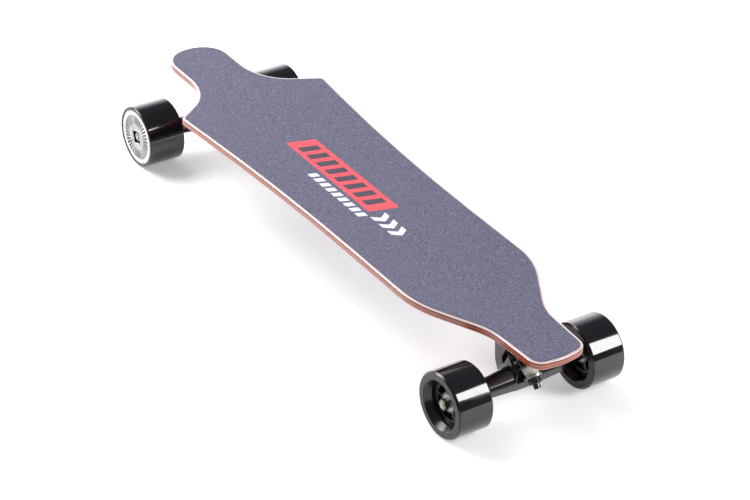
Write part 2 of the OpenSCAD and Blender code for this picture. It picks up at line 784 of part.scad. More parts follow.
// One coil around each tooth
module motor_windings() {
    r0 = tooth_in + 1.5;
    r1 = stator_r - 3.5;
    coil_w = tooth_w + 3.4;
    color("#b87333") for (side = [-1, 1], i = [0 : stator_teeth - 1]) at_wheel(false, side)
        rotate([0, 0, 360 * i / stator_teeth]) difference() {
            translate([r0, -coil_w / 2, stator_z[0] - coil_overhang])
                cube([r1 - r0, coil_w, stator_z[1] - stator_z[0] + 2 * coil_overhang]);
            translate([r0 - 1, -tooth_w / 2 - eps, stator_z[0] - eps])
                cube([r1 - r0 + 2, tooth_w + 2 * eps, stator_z[1] - stator_z[0] + 2 * eps]);
        }
}

module rear_axle_nuts() {
    color("silver") for (side = [-1, 1]) at_wheel(false, side)
        translate([0, 0, outer_bearing_z + bearing_w + end_play])
            nut(axle_nut_af, axle_d + 2 * eps, motor_nut_h);
}

// ---- motor cables ----

// Route of the left cable, measured from the middle of the rear axle: straight out of the hole
// in the axle, in one smooth curve up to its gland, and straight on to the controller
cable_start = [8, cable_y, 0];
cable_turn = [40, cable_y, 0];
cable_rise = [tub_rear_in - 66, gland_y, gland_z - axle_z];
cable_end = [tub_rear_in - 16, gland_y, gland_z - axle_z];
cable_bends = 12;

function cable_at(t) =
    pow(1 - t, 3) * cable_start + 3 * t * pow(1 - t, 2) * cable_turn
    + 3 * t * t * (1 - t) * cable_rise + t * t * t * cable_end;

cable_path = concat([cable_start - [5, 0, 0]], [for (i = [0 : cable_bends]) cable_at(i / cable_bends)],
    [for (i = [1 : 3]) cable_end + [14 * i, 0, 0]]);

// A closed tube of rings around a path; the rings stay square to the path
module swept_tube(path, r, sides) {
    n = len(path);
    along = [for (i = [0 : n - 1]) unit(path[min(i + 1, n - 1)] - path[max(i - 1, 0)])];
    points = [for (i = [0 : n - 1])
        let (across = unit(cross([0, 0, 1], along[i])), up = cross(along[i], across))
        for (k = [0 : sides - 1])
            path[i] + r * (across * cos(360 * k / sides) + up * sin(360 * k / sides))];
    faces = concat([[for (k = [0 : sides - 1]) k]],
        [for (i = [0 : n - 2], k = [0 : sides - 1])
            [i * sides + k, (i + 1) * sides + k, (i + 1) * sides + (k + 1) % sides,
                i * sides + (k + 1) % sides]],
        [[for (k = [sides - 1 : -1 : 0]) (n - 1) * sides + k]]);
    polyhedron(points, faces, convexity = 4);
}

module motor_cable(side) {
    color("#151515") translate([rear_axle_x, 0, axle_z]) mirror([0, side < 0 ? 1 : 0, 0])
        swept_tube(cable_path, cable_r, 10);
}

module cable_glands() {
    color("black") for (side = [-1, 1]) translate([tub_rear_x, side * gland_y, gland_z]) rotate([0, -90, 0])
        difference() {
            union() {
                translate([0, 0, eps]) hex(gland_af, 5);
                translate([0, 0, 5]) cylinder(d1 = gland_af - 0.5, d2 = 9, h = 6);
                translate([0, 0, -tub_wall - 3]) cylinder(d = gland_hole_d - hole_gap, h = tub_wall + 4);
                translate([0, 0, -tub_wall - 3]) hex(gland_af - 1, 3 - eps);
            }
            translate([0, 0, -20]) cylinder(r = cable_r + 2 * eps, h = 40);
        }
}

// ---- electronics tub ----

// A tray with rounded corners and a rounded lower edge, from z0 up to z1
module tray(x0, x1, width, z0, z1, corner, edge) {
    hull() for (x = [x0 + corner, x1 - corner], y = [-1, 1] * (width / 2 - corner), a = [0, 30, 60, 90])
        translate([x, y, z0 + edge * (1 - sin(a))])
            cylinder(r = corner - edge * (1 - cos(a)), h = (a == 0 ? z1 - z0 - edge : 0.1), $fn = 32);
}

module flange_outline(grow) {
    translate([(tub_rear_x + tub_front_x) / 2, 0])
        plate_outline(tub_length + 2 * grow, tub_width + 2 * grow, tub_corner + grow);
}

module tub_screw_holes() {
    at_tub_screws() translate([0, 0, tub_floor])
        cylinder(d = tub_screw_d + 2 * hole_gap, h = tub_depth + edge_lift);
}

module enclosure() {
    flange_top = deck_thickness + gasket_t + 2 * eps;
    port_y = side_y - 1;
    color("#1b1b1d") difference() {
        union() {
            below_sheet(flange_top)
                tray(tub_rear_x, tub_front_x, tub_width, tub_floor, deck_bottom + 8, tub_corner, tub_edge);
            intersection() {
                translate([0, 0, tub_floor]) linear_extrude(tub_depth + edge_lift) flange_outline(flange_w);
                curved_sheet(flange_top, flange_top + flange_t);
            }
        }
        tray(tub_rear_x + tub_wall, tub_front_x - tub_wall, tub_width - 2 * tub_wall,
            tub_floor + tub_wall, deck_bottom + 20, tub_corner - tub_wall, tub_edge - tub_wall);
        tub_screw_holes();
        for (side = [-1, 1]) translate([tub_rear_x - 1, side * gland_y, gland_z]) rotate([0, 90, 0])
            cylinder(d = gland_hole_d, h = tub_wall + 2);
        translate([button_x, port_y, port_z]) rotate([-90, 0, 0])
            cylinder(d = button_d + 2 * body_gap, h = tub_wall + 2);
        translate([socket_x, port_y, port_z]) rotate([-90, 0, 0])
            cylinder(d = socket_bore_d + 2 * socket_wall + 2 * eps, h = tub_wall + 2);
    }
}

module enclosure_gasket() {
    color("#303030") difference() {
        intersection() {
            translate([0, 0, tub_floor]) linear_extrude(tub_depth + edge_lift) difference() {
                flange_outline(flange_w);
                flange_outline(-tub_wall);
            }
            curved_sheet(deck_thickness + eps, deck_thickness + gasket_t + eps);
        }
        tub_screw_holes();
    }
}

module enclosure_screws() {
    // the sloping flange is lowest at the inner side of a screw's head
    head_y = tub_width / 2 + flange_w / 2 - tub_screw_head_d / 2;
    under_flange = underside(head_y) - gasket_t - flange_t - 4 * eps;
    color("#101010") at_tub_screws() difference() {
        union() {
            translate([0, 0, under_flange - tub_screw_head_h])
                cylinder(d = tub_screw_head_d, h = tub_screw_head_h);
            translate([0, 0, under_flange - 1])
                cylinder(d = tub_screw_d, h = 1 + flange_t + gasket_t + tub_screw_grip);
        }
        translate([0, 0, under_flange - tub_screw_head_h - 1]) hex(2.5, 2.4);
    }
}

module battery_cells() {
    color("mediumseagreen") for (row = [0 : cell_rows - 1], column = [0 : cell_columns - 1])
        translate([battery_x + row * row_pitch, (column - (cell_columns - 1) / 2) * cell_pitch,
            tub_floor + tub_wall + eps + cell_d / 2])
            rotate([0, 90, 0]) cylinder(d = cell_d, h = cell_length);
}

module battery_board() {
    chip = [10, 8, 3];
    color("darkgreen") translate([board_x, 0, tub_floor + tub_wall + eps]) {
        translate([0, -board_size.y / 2, 0]) cube(board_size);
        for (i = [-2 : 2]) translate([4, 16 * i - chip.y / 2, board_size.z - 0.1]) cube(chip);
        translate([20, -30, board_size.z - 0.1]) cube([6, 60, 7]);
    }
}

module motor_controller() {
    z = tub_floor + tub_wall + eps;
    color("silver") difference() {
        union() {
            translate([controller_x, -controller_size.y / 2, z]) cube(controller_size);
            // switch block behind the power button
            translate([button_x - 6, side_y + tub_wall + 4.5 + button_travel, z]) cube([12, 16, 18]);
        }
        for (i = [0 : 8]) translate([controller_x + 12 + 12 * i, -controller_size.y / 2 - 1, z + 13])
            cube([6, controller_size.y - 10, 10]);
        for (side = [-1, 1]) translate([controller_x - 1, side * gland_y, gland_z]) rotate([0, 90, 0])
            cylinder(r = cable_r + 1, h = 6);
    }
}

module power_button() {
    r = button_d / 2;
    stem_r = 2.5;
    inner = button_travel + tub_wall;
    color("crimson") translate([button_x, side_y - button_travel, port_z]) rotate([-90, 0, 0]) rotate_extrude()
        polygon([[0, 0], [r - 0.8, 0], [r, 0.8], [r, inner + body_gap], [r + button_rim, inner + body_gap],
            [r + button_rim, inner + 2], [stem_r, inner + 2], [stem_r, inner + 4], [0, inner + 4]]);
}

module charge_socket() {
    r = socket_bore_d / 2;
    ledge = 0.4;
    color("silver") translate([socket_x, side_y, port_z]) {
        rotate([-90, 0, 0]) {
            difference() {
                union() {
                    cylinder_between(socket_flange_d / 2, -socket_lip, -eps);
                    cylinder_between(r + socket_wall, -1, socket_end);
                    cylinder_between(r + socket_wall + socket_nut_wall, tub_wall + eps, tub_wall + 3);
                }
                cylinder_between(r, -socket_lip - 1, socket_deep);
                cylinder_between(r - ledge, socket_deep - 1, socket_back - 1);
            }
            for (i = [0 : 2]) rotate([0, 0, 120 * i]) translate([3, 0, 0])
                cylinder_between(0.8, socket_deep + 0.6, socket_back);
        }
        // ears and pin of the cap's hinge
        for (way = [-1, 1]) translate([way * ear_x - ear_w / 2, -hinge_out - hinge_r, hinge_up - 4])
            cube([ear_w, hinge_out + hinge_r - eps, 5.8]);
        translate([-ear_x, -hinge_out, hinge_up]) rotate([0, 90, 0]) cylinder(r = hinge_r, h = 2 * ear_x);
    }
}

module charge_cap() {
    inner = socket_lip + body_gap;
    color("#222222") translate([socket_x, side_y, port_z]) difference() {
        union() {
            rotate([90, 0, 0]) cylinder_between(socket_flange_d / 2 - 1.5, inner, inner + cap_t);
            translate([-4, -inner - cap_t, 4]) cube([8, cap_t, hinge_up - 4]);
            translate([0, -hinge_out, hinge_up]) rotate([0, 90, 0])
                cylinder(r = barrel_r, h = barrel_length, center = true);
        }
        translate([0, -hinge_out, hinge_up]) rotate([0, 90, 0])
            cylinder(r = hinge_r + running_gap, h = 2 * barrel_length, center = true);
    }
}

// ---- every node ----

deck();
grip_tape();
riser_pad(true);  // front_riser_pad
riser_pad(false);  // rear_riser_pad
truck_bolts();
truck_nuts();
baseplate(true);  // front_baseplate
baseplate(false);  // rear_baseplate
pivot_cup(true);  // front_pivot_cup
pivot_cup(false);  // rear_pivot_cup
kingpin(true);  // front_kingpin
kingpin(false);  // rear_kingpin
kingpin_nut(true);  // front_kingpin_nut
kingpin_nut(false);  // rear_kingpin_nut
board_bushing(true);  // front_board_bushing
board_bushing(false);  // rear_board_bushing
road_bushing(true);  // front_road_bushing
road_bushing(false);  // rear_road_bushing
cup_washers(true);  // front_cup_washers
cup_washers(false);  // rear_cup_washers
hanger(true);  // front_hanger
hanger(false);  // rear_hanger
front_axle();
rear_axle();
front_spacers();
front_speed_washers();
front_axle_nuts();
rear_axle_nuts();
front_tyre(1);  // front_left_tyre
front_tyre(-1);  // front_right_tyre
front_core(1);  // front_left_core
front_core(-1);  // front_right_core
front_bearings(1);  // front_left_bearings
front_bearings(-1);  // front_right_bearings
rear_tyre(1);  // rear_left_tyre
rear_tyre(-1);  // rear_right_tyre
motor_can(1);  // rear_left_motor_can
motor_can(-1);  // rear_right_motor_can
motor_cover(1);  // rear_left_motor_cover
motor_cover(-1);  // rear_right_motor_cover
cover_screws(1);  // rear_left_cover_screws
cover_screws(-1);  // rear_right_cover_screws
magnets(1);  // rear_left_magnets
magnets(-1);  // rear_right_magnets
motor_bearings(1);  // rear_left_bearings
motor_bearings(-1);  // rear_right_bearings
motor_stators();
motor_windings();
motor_cable(1);  // left_motor_cable
motor_cable(-1);  // right_motor_cable
cable_glands();
enclosure();
enclosure_gasket();
enclosure_screws();
battery_cells();
battery_board();
motor_controller();
power_button();
charge_socket();
charge_cap();
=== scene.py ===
"""Looks of an electric longboard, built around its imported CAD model.

Lengths are in metres. The front of the board points along +X, its left side is +Y, and the wheels
stand on z = 0. Finishes come first, then the helpers that make meshes, then the pieces, the studio
and the camera.
"""
import json
import math

import bmesh
import bpy
from mathutils import Matrix, Vector, geometry


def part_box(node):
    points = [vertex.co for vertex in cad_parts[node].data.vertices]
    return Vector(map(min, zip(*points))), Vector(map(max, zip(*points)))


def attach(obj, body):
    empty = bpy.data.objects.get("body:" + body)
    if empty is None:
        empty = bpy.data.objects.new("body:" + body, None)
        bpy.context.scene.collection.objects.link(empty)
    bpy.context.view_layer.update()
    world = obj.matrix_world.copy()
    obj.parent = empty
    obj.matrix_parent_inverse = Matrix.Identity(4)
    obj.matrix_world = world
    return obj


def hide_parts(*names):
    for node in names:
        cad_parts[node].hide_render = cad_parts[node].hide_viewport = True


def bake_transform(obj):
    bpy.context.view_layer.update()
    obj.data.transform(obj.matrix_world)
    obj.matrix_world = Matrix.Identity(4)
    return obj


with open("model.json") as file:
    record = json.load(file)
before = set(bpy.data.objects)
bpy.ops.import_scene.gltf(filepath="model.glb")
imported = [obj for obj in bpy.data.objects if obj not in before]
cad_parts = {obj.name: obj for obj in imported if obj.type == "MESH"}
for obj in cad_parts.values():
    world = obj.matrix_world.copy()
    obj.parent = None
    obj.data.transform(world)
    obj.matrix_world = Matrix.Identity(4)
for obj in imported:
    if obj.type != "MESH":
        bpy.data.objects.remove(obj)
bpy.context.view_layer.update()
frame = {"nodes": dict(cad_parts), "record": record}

record = frame["record"]
body_of = {node: body for body, nodes in record["behaviour"]["bodies"].items() for node in nodes}
MM = 0.001


def middle(node):
    low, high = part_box(node)
    return (low + high) / 2


# ---- sizes that the pieces share, from the frame where it has them ----

DECK_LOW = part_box("deck")[0]
DECK_THICKNESS = 11 * MM
DECK_TOP = DECK_LOW.z + DECK_THICKNESS       # on the centre line
CONCAVE_RADIUS = 650 * MM
GRIP_THICKNESS = 0.8 * MM
GRIP_INSET = 4 * MM
FRONT_AXLE = middle("front_axle")
REAR_AXLE = middle("rear_axle")
AXLES = {"front": FRONT_AXLE, "rear": REAR_AXLE}
SIDES = {"left": 1, "right": -1}
WHEEL_RADIUS = FRONT_AXLE.z
HALF_TRACK = middle("front_left_tyre").y
STEER_ANGLE = math.radians(45)
RING_OUT = 6 * MM                            # middle of a hanger's ring, out from its axle
RING_UP = 24 * MM
RING_HALF = 5.5 * MM
BUSHING_HEIGHT = 14 * MM
BUSHING_ROWS = 7
BUSHING_RADIUS = 11 * MM
KINGPIN_RADIUS = 4.75 * MM

# the print on the grip tape: places and sizes along and across the board
PRINT_SLANT = 0.28                           # how far along for each metre across
BLOCK_MIDDLE = -40.5 * MM
BLOCK_MIDDLE_Y = 0.75 * MM
BLOCK_LENGTH = 208 * MM
BLOCK_WIDTH = 41.5 * MM
BAR_PITCH = 23 * MM
BAR_WIDTH = 13 * MM
BAR_MARGIN = 7 * MM                          # red beside the ends of the bars
BLOCK_MARGIN = 10 * MM                       # red before the first bar and after the last
DASH_MIDDLE = 1 * MM
DASH_MIDDLE_Y = -33 * MM
DASH_COUNT = 9
DASH_WIDTH = 13 * MM
DASH_PITCH = 14.6 * MM
DASH_HALF_LENGTH = DASH_PITCH * 0.33
CHEVRON_START = 74 * MM
CHEVRON_COUNT = 3
CHEVRON_PITCH = 20 * MM
CHEVRON_HALF_STROKE = CHEVRON_PITCH * 0.27
CHEVRON_MIDDLE_Y = -14 * MM
CHEVRON_HALF_WIDTH = 12 * MM
CHEVRON_SLANT = 0.7


# ---- finishes ----

class Field:
    """A number or a colour that varies over a surface: one socket of a node."""

    def __init__(self, nodes, socket):
        self.nodes = nodes
        self.socket = socket

    def maths(self, operation, *terms):
        return self.nodes.node("ShaderNodeMath", {"operation": operation}, *terms)

    def __add__(self, other):
        return self.maths("ADD", self, other)

    __radd__ = __add__

    def __sub__(self, other):
        return self.maths("SUBTRACT", self, other)

    def __rsub__(self, other):
        return self.maths("SUBTRACT", other, self)

    def __mul__(self, other):
        return self.maths("MULTIPLY", self, other)

    __rmul__ = __mul__

    def __truediv__(self, other):
        return self.maths("DIVIDE", self, other)

    def __pow__(self, other):
        return self.maths("POWER", self, other)

    def __mod__(self, other):
        return self.maths("FLOORED_MODULO", self, other)

    def __gt__(self, other):
        return self.maths("GREATER_THAN", self, other)

    def __lt__(self, other):
        return self.maths("LESS_THAN", self, other)

    def __and__(self, other):
        return self.maths("MULTIPLY", self, other)

    def __or__(self, other):
        return self.maths("MAXIMUM", self, other)

    def __abs__(self):
        return self.maths("ABSOLUTE", self)


class Nodes:
    """Nodes that feed one shader. Everything that varies hangs on fields of their place."""

    def __init__(self, tree, shader, place):
        self.tree = tree
        self.shader = tree.nodes[shader]
        self.place = self.node("ShaderNodeTexCoord", output=place)

    def join(self, socket, value):
        if isinstance(value, Field):
            self.tree.links.new(value.socket, socket)
        elif isinstance(value, tuple) and socket.type == "RGBA" and len(value) == 3:
            socket.default_value = (*value, 1)
        else:
            socket.default_value = value

    def node(self, kind, settings=None, *values, output=0, **named):
        """Adds a node: its settings first, then what its sockets hold or are joined to.

        A value of None leaves its socket alone.
        """
        made = self.tree.nodes.new(kind)
        for name, value in (settings or {}).items():
            if name == "stops":
                self.set_stops(made.color_ramp, value)
            elif name == "interpolation":
                made.color_ramp.interpolation = value
            else:
                setattr(made, name, value)
        for index, value in enumerate(values):
            if value is not None:
                self.join(made.inputs[index], value)
        for name, value in named.items():
            self.join(made.inputs[name], value)
        return Field(self, made.outputs[output])

    def set_stops(self, ramp, stops):
        while len(ramp.elements) > 1:
            ramp.elements.remove(ramp.elements[-1])
        for index, (position, colour) in enumerate(stops):
            stop = ramp.elements[0] if index == 0 else ramp.elements.new(position)
            stop.position = position
            stop.color = (*colour, 1)

    def xyz(self):
        return [self.node("ShaderNodeSeparateXYZ", None, self.place, output=i) for i in range(3)]

    def at(self, x, y, z):
        return self.node("ShaderNodeCombineXYZ", None, x, y, z)

    def stretched(self, sx, sy, sz):
        return self.node("ShaderNodeVectorMath", {"operation": "MULTIPLY"}, self.place, (sx, sy, sz))

    def noise(self, scale, detail=2.0, place=None, rough=0.5):
        return self.node("ShaderNodeTexNoise", None, Vector=place or self.place, Scale=scale,
                         Detail=detail, Roughness=rough)

    def cells(self, scale, output="Distance"):
        return self.node("ShaderNodeTexVoronoi", None, Vector=self.place, Scale=scale, output=output)

    def layers(self, amount, *stops):
        """A colour for each layer, with a hard change at its start."""
        return self.node("ShaderNodeValToRGB", {"stops": stops, "interpolation": "CONSTANT"}, amount)

    def spread(self, amount, low, high, to_low=0.0, to_high=1.0):
        return self.node("ShaderNodeMapRange", {"clamp": True}, amount, low, high, to_low, to_high)

    def mix(self, amount, first, second, blend="MIX"):
        settings = {"data_type": "RGBA", "blend_type": blend, "clamp_factor": True}
        no_colours = [None] * 5              # its sockets for numbers and vectors
        return self.node("ShaderNodeMix", settings, amount, *no_colours, first, second, output=2)

    def around(self, centre):
        """Distance from an axle, and the turn about it from 0 to 1."""
        x, y, z = self.xyz()
        dx = x - centre.x
        dz = z - centre.z
        radius = (dx * dx + dz * dz) ** 0.5
        turn = self.node("ShaderNodeMath", {"operation": "ARCTAN2"}, dz, dx) / math.tau + 0.5
        return radius, turn, y

    def relief(self, height, distance, strength):
        return self.node("ShaderNodeBump", None, Strength=strength, Distance=distance, Height=height)

    def paint(self, **sockets):
        for socket, value in sockets.items():
            self.join(self.shader.inputs[socket.replace("_", " ")], value)


class Finish(Nodes):
    """A material in the making, on the surface's own place."""

    def __init__(self, name, **constants):
        self.material = bpy.data.materials.new(name)
        self.material.use_nodes = True
        super().__init__(self.material.node_tree, "Principled BSDF", "Object")
        self.paint(**constants)

    def paint(self, **sockets):
        super().paint(**sockets)
        return self.material


def lacquered_maple():
    """Stained plies under a gloss lacquer: the edge shows each ply, the underside one veneer."""
    f = Finish("lacquered_maple", Coat_Roughness=0.05, IOR=1.5)
    y, z = f.xyz()[1:]
    depth = (y * y / (2 * CONCAVE_RADIUS) + DECK_TOP - z) / DECK_THICKNESS
    drift = f.noise(9, 2) * 0.02 - 0.01
    # the top ply is pale partly as its own veneer and partly as a painted highlight along the deck's
    # rounded rim
    plies = f.layers(depth + drift,
                     (0.0, (0.78, 0.62, 0.60)), (0.10, (0.16, 0.022, 0.016)),
                     (0.24, (0.36, 0.062, 0.026)), (0.38, (0.60, 0.16, 0.055)),
                     (0.50, (0.15, 0.016, 0.012)), (0.60, (0.38, 0.066, 0.026)),
                     (0.72, (0.56, 0.17, 0.075)), (0.85, (0.12, 0.014, 0.012)),
                     (0.95, (0.11, 0.028, 0.018)))
    fibre = f.noise(1, 5, f.stretched(14, 420, 900), 0.65)
    figure = f.noise(1, 3, f.stretched(5, 60, 60))
    pores = f.spread(f.noise(1, 2, f.stretched(60, 1500, 1500)), 0.60, 0.72)
    streaks = f.mix(f.spread(fibre, 0.35, 0.7), (0.78, 0.73, 0.71), (1.0, 1.0, 1.0))
    below_top = depth > 0.1                  # the pale top ply, partly a painted highlight, shows less of the grain
    colour = f.mix(0.3 + below_top * 0.7, plies, streaks, "MULTIPLY")
    warm = f.spread(figure, 0.35, 0.65) * f.spread(depth, 0.90, 0.96)
    colour = f.mix(warm * 0.35, colour, (0.42, 0.10, 0.05))
    colour = f.mix(pores * below_top * 0.5, colour, (0.13, 0.03, 0.02))
    return f.paint(Base_Color=colour, Roughness=f.spread(fibre, 0.3, 0.7, 0.28, 0.42),
                   Coat_Weight=f.spread(figure, 0.3, 0.7, 0.9, 0.75),
                   Normal=f.relief(fibre + figure, 0.05 * MM, 0.5))


def grit_tape():
    """Abrasive grains on a dark backing, with plain printed shapes along the middle of the board."""
    f = Finish("grit_tape", Specular_IOR_Level=0.4)
    x, y = f.xyz()[:2]
    grain = f.cells(1150)
    shade = f.node("ShaderNodeSeparateColor", None, f.cells(1150, output="Color"))
    fine = f.noise(2400, 2)
    clump = f.noise(760, 3, rough=0.7)
    drift = f.noise(5, 3)
    speckle = f.spread(clump, 0.38, 0.64)
    backing = f.mix(speckle, (0.040, 0.039, 0.070), (0.196, 0.190, 0.285))
    backing = f.mix(f.spread(drift, 0.35, 0.7) * 0.2, backing, (0.13, 0.13, 0.18))
    # a block with slanted ends and slanted bars in it, a row of dashes, and three chevrons
    block_y = abs(y - BLOCK_MIDDLE_Y)
    block_x = x - (y - BLOCK_MIDDLE_Y) * PRINT_SLANT - BLOCK_MIDDLE
    block = (abs(block_x) < BLOCK_LENGTH / 2) & (block_y < BLOCK_WIDTH / 2)
    bars = abs(block_x % BAR_PITCH - BAR_PITCH / 2) < BAR_WIDTH / 2
    bars = bars & (block_y < BLOCK_WIDTH / 2 - BAR_MARGIN)
    bars = bars & (abs(block_x) < BLOCK_LENGTH / 2 - BLOCK_MARGIN)
    dash_y = y - DASH_MIDDLE_Y
    dash_x = x - dash_y * PRINT_SLANT - DASH_MIDDLE
    dashes = abs((dash_x + DASH_PITCH / 2) % DASH_PITCH - DASH_PITCH / 2) < DASH_HALF_LENGTH
    dashes = dashes & (abs(dash_x) < DASH_COUNT / 2 * DASH_PITCH) & (abs(dash_y) < DASH_WIDTH / 2)
    chevron_y = abs(y - CHEVRON_MIDDLE_Y)
    chevron_x = x + chevron_y * CHEVRON_SLANT - CHEVRON_START
    chevrons = abs(chevron_x % CHEVRON_PITCH - CHEVRON_PITCH / 2) < CHEVRON_HALF_STROKE
    chevrons = chevrons & (chevron_y < CHEVRON_HALF_WIDTH)
    chevrons = chevrons & (chevron_x > 0) & (chevron_x < CHEVRON_COUNT * CHEVRON_PITCH)
    white = dashes | chevrons
    ink_wear = f.spread(clump, 0.25, 0.5, 0.72, 1.0)
    colour = f.mix((block & (1 - bars)) * ink_wear, backing, (0.76, 0.095, 0.115))
    colour = f.mix((block & bars) * 0.75, colour, (0.055, 0.040, 0.055))
    colour = f.mix(white * ink_wear, colour, (0.80, 0.79, 0.82))
    glint = f.spread(shade, 0.93, 0.97) * (1 - block * 0.6)
    colour = f.mix(glint * 0.40, colour, (0.42, 0.42, 0.50))
    return f.paint(Base_Color=colour, Roughness=0.85 - glint * 0.45,
                   Normal=f.relief(grain * 0.7 + fine * 0.3, 0.35 * MM, 0.8))


def cast_urethane(name, axle):
    """Poured black urethane: glossy, with faint scuffs that run around the tread."""
    f = Finish(name, Specular_IOR_Level=0.5, Coat_Roughness=0.03, IOR=1.5)
    radius, turn, y = f.around(axle)
    tread = f.spread(radius, WHEEL_RADIUS - 0.7 * MM, WHEEL_RADIUS - 0.2 * MM)
    streak = f.noise(1, 3, f.at(turn * 18, y * 2600, radius * 300))
    cloud = f.noise(34, 3)
    dust = f.spread(f.noise(1300, 2), 0.66, 0.74) * f.spread(cloud, 0.45, 0.65)
    scuff = f.spread(streak, 0.60, 0.74) * tread
    colour = f.mix(f.spread(cloud, 0.3, 0.7), (0.0030, 0.0030, 0.0048), (0.0065, 0.0060, 0.0085))
    colour = f.mix(scuff * 0.05 + dust * 0.08, colour, (0.20, 0.20, 0.21))
    side = 1 - tread
    return f.paint(Base_Color=colour,
                   Roughness=f.spread(cloud, 0.3, 0.7, 0.07, 0.12) + scuff * 0.04 + side * 0.12,
                   Coat_Weight=tread * 0.5,
                   Normal=f.relief(f.noise(60, 2), 0.02 * MM, 0.25))


def gloss_black_coat():
    """Cast aluminium under gloss black paint: a little texture from the casting, chips at random."""
    f = Finish("gloss_black_coat", Coat_Roughness=0.06, IOR=1.5)
    peel = f.noise(260, 3)
    cast = f.noise(900, 2)
    chips = f.spread(f.noise(420, 4, rough=0.7), 0.74, 0.76)
    colour = f.mix(f.spread(peel, 0.3, 0.7), (0.0035, 0.0034, 0.0045), (0.0075, 0.0070, 0.0080))
    colour = f.mix(chips, colour, (0.30, 0.30, 0.31))
    return f.paint(Base_Color=colour, Metallic=chips * 0.9, Roughness=0.12 + peel * 0.10,
                   Coat_Weight=0.6 - chips * 0.5,
                   Normal=f.relief(peel + cast * 0.4, 0.05 * MM, 0.3))


def metal(name, dark, light, rough, brush=(300, 300, 300), stain=(0.2, 0.17, 0.13), stains=0.15):
    """Bare or plated metal with brush marks and a little staining."""
    f = Finish(name, Metallic=1.0)
    marks = f.noise(1, 4, f.stretched(*brush), 0.7)
    cloud = f.noise(150, 3)
    spots = f.spread(f.noise(700, 3), 0.62, 0.75)
    colour = f.mix(f.spread(marks, 0.3, 0.7), dark, light)
    colour = f.mix(spots * stains + f.spread(cloud, 0.4, 0.8) * stains, colour, stain)
    return f.paint(Base_Color=colour,
                   Roughness=f.spread(marks, 0.25, 0.75, rough - 0.07, rough + 0.09) + spots * 0.1,
                   Normal=f.relief(marks, 0.015 * MM, 0.4))


def moulded(name, base, rough, grain=0.05, grain_scale=1500, coat=0.0, light=None):
    """Moulded plastic or rubber: fine grain, soft clouds of shade, small rubbed marks."""
    f = Finish(name, Coat_Roughness=0.08)
    texture = f.cells(grain_scale)
    cloud = f.noise(45, 3)
    rubs = f.spread(f.noise(1, 3, f.stretched(90, 500, 500)), 0.66, 0.78)
    light = light or tuple(min(1, c * 1.5 + 0.003) for c in base)
    colour = f.mix(f.spread(cloud, 0.3, 0.7), base, light)
    colour = f.mix(rubs * 0.10, colour, tuple(min(1, c + 0.12) for c in base))
    return f.paint(Base_Color=colour,
                   Roughness=f.spread(cloud, 0.3, 0.7, rough - 0.05, rough + 0.05) + rubs * 0.06,
                   Coat_Weight=f.spread(cloud, 0.3, 0.7, coat, coat * 0.8) if coat else 0.0,
                   Normal=f.relief(texture, grain * MM, 0.5))


def spun_cover():
    """The motor cover: pale coated metal, turned in fine rings, with a painted reflection on its inner disc
    and painted shade in its slots.
    """
    f = Finish("spun_cover", Coat_Roughness=0.12)
    radius, turn, y = f.around(REAR_AXLE)
    rings = f.noise(1, 3, f.at(radius * 5200, turn * 3, 0))
    cloud = f.noise(70, 3)
    # painted reflection: the inner disc is painted darker grey, in soft lobes around the axle, for the
    # bow-tie reflection of turned metal
    disc = f.spread(radius, 34.5 * MM, 33.5 * MM)
    painted_reflection_lobes = f.noise(1, 1, f.at(abs(turn - 0.5) * 9, radius * 60, 0))
    shade = f.spread(painted_reflection_lobes, 0.35, 0.65)
    # painted shade: the slot walls and the nut's socket, below the cover's outer face, are painted near
    # black
    painted_recess_shade = f.spread(abs(y), HALF_TRACK + 26.95 * MM, HALF_TRACK + 26.8 * MM)
    colour = f.mix(f.spread(rings, 0.3, 0.7), (0.66, 0.66, 0.68), (0.84, 0.84, 0.86))
    colour = f.mix(disc * (0.35 + shade * 0.45), colour, (0.20, 0.19, 0.20))
    colour = f.mix(f.spread(cloud, 0.5, 0.8) * 0.08, colour, (0.30, 0.29, 0.28))
    colour = f.mix(painted_recess_shade, colour, (0.010, 0.010, 0.012))
    return f.paint(Base_Color=colour, Metallic=disc * 0.45 * (1 - painted_recess_shade),
                   Roughness=f.spread(rings, 0.3, 0.7, 0.30, 0.42),
                   Normal=f.relief(rings, 0.03 * MM, 0.6))


def shrink_sleeve():
    """Shrunk film around the battery's cells, with faint wrinkles."""
    f = Finish("shrink_sleeve", Coat_Roughness=0.1)
    wrinkle = f.noise(1, 3, f.stretched(40, 260, 260))
    cloud = f.noise(40, 2)
    colour = f.mix(f.spread(wrinkle, 0.3, 0.7), (0.05, 0.30, 0.17), (0.11, 0.45, 0.28))
    return f.paint(Base_Color=colour, Roughness=0.25 + cloud * 0.1,
                   Normal=f.relief(wrinkle, 0.1 * MM, 0.5))


def solder_mask():
    """The green coat of a circuit board, with its tracks showing through."""
    f = Finish("solder_mask", Coat_Roughness=0.1)
    x = f.xyz()[0]
    pitch = 2.4 * MM
    tracks = (abs(x % pitch - pitch / 2) < 0.45 * MM) & (f.noise(90, 1) > 0.48)
    cloud = f.noise(60, 2)
    colour = f.mix(f.spread(cloud, 0.3, 0.7), (0.010, 0.10, 0.04), (0.02, 0.17, 0.07))
    colour = f.mix(tracks * 0.5, colour, (0.08, 0.30, 0.12))
    return f.paint(Base_Color=colour, Roughness=0.3 + cloud * 0.1, Normal=f.relief(tracks, 0.03 * MM, 0.5))


def wound_copper():
    """Enamelled wire, wound turn by turn."""
    f = Finish("wound_copper", Metallic=1.0)
    turns = f.node("ShaderNodeTexWave", {"bands_direction": "Y"}, Vector=f.place, Scale=520.0,
                   Distortion=0.6)
    cloud = f.noise(120, 2)
    colour = f.mix(turns, (0.28, 0.09, 0.03), (0.72, 0.34, 0.14))
    return f.paint(Base_Color=colour, Roughness=0.3 + cloud * 0.1, Normal=f.relief(turns, 0.3 * MM, 0.7))


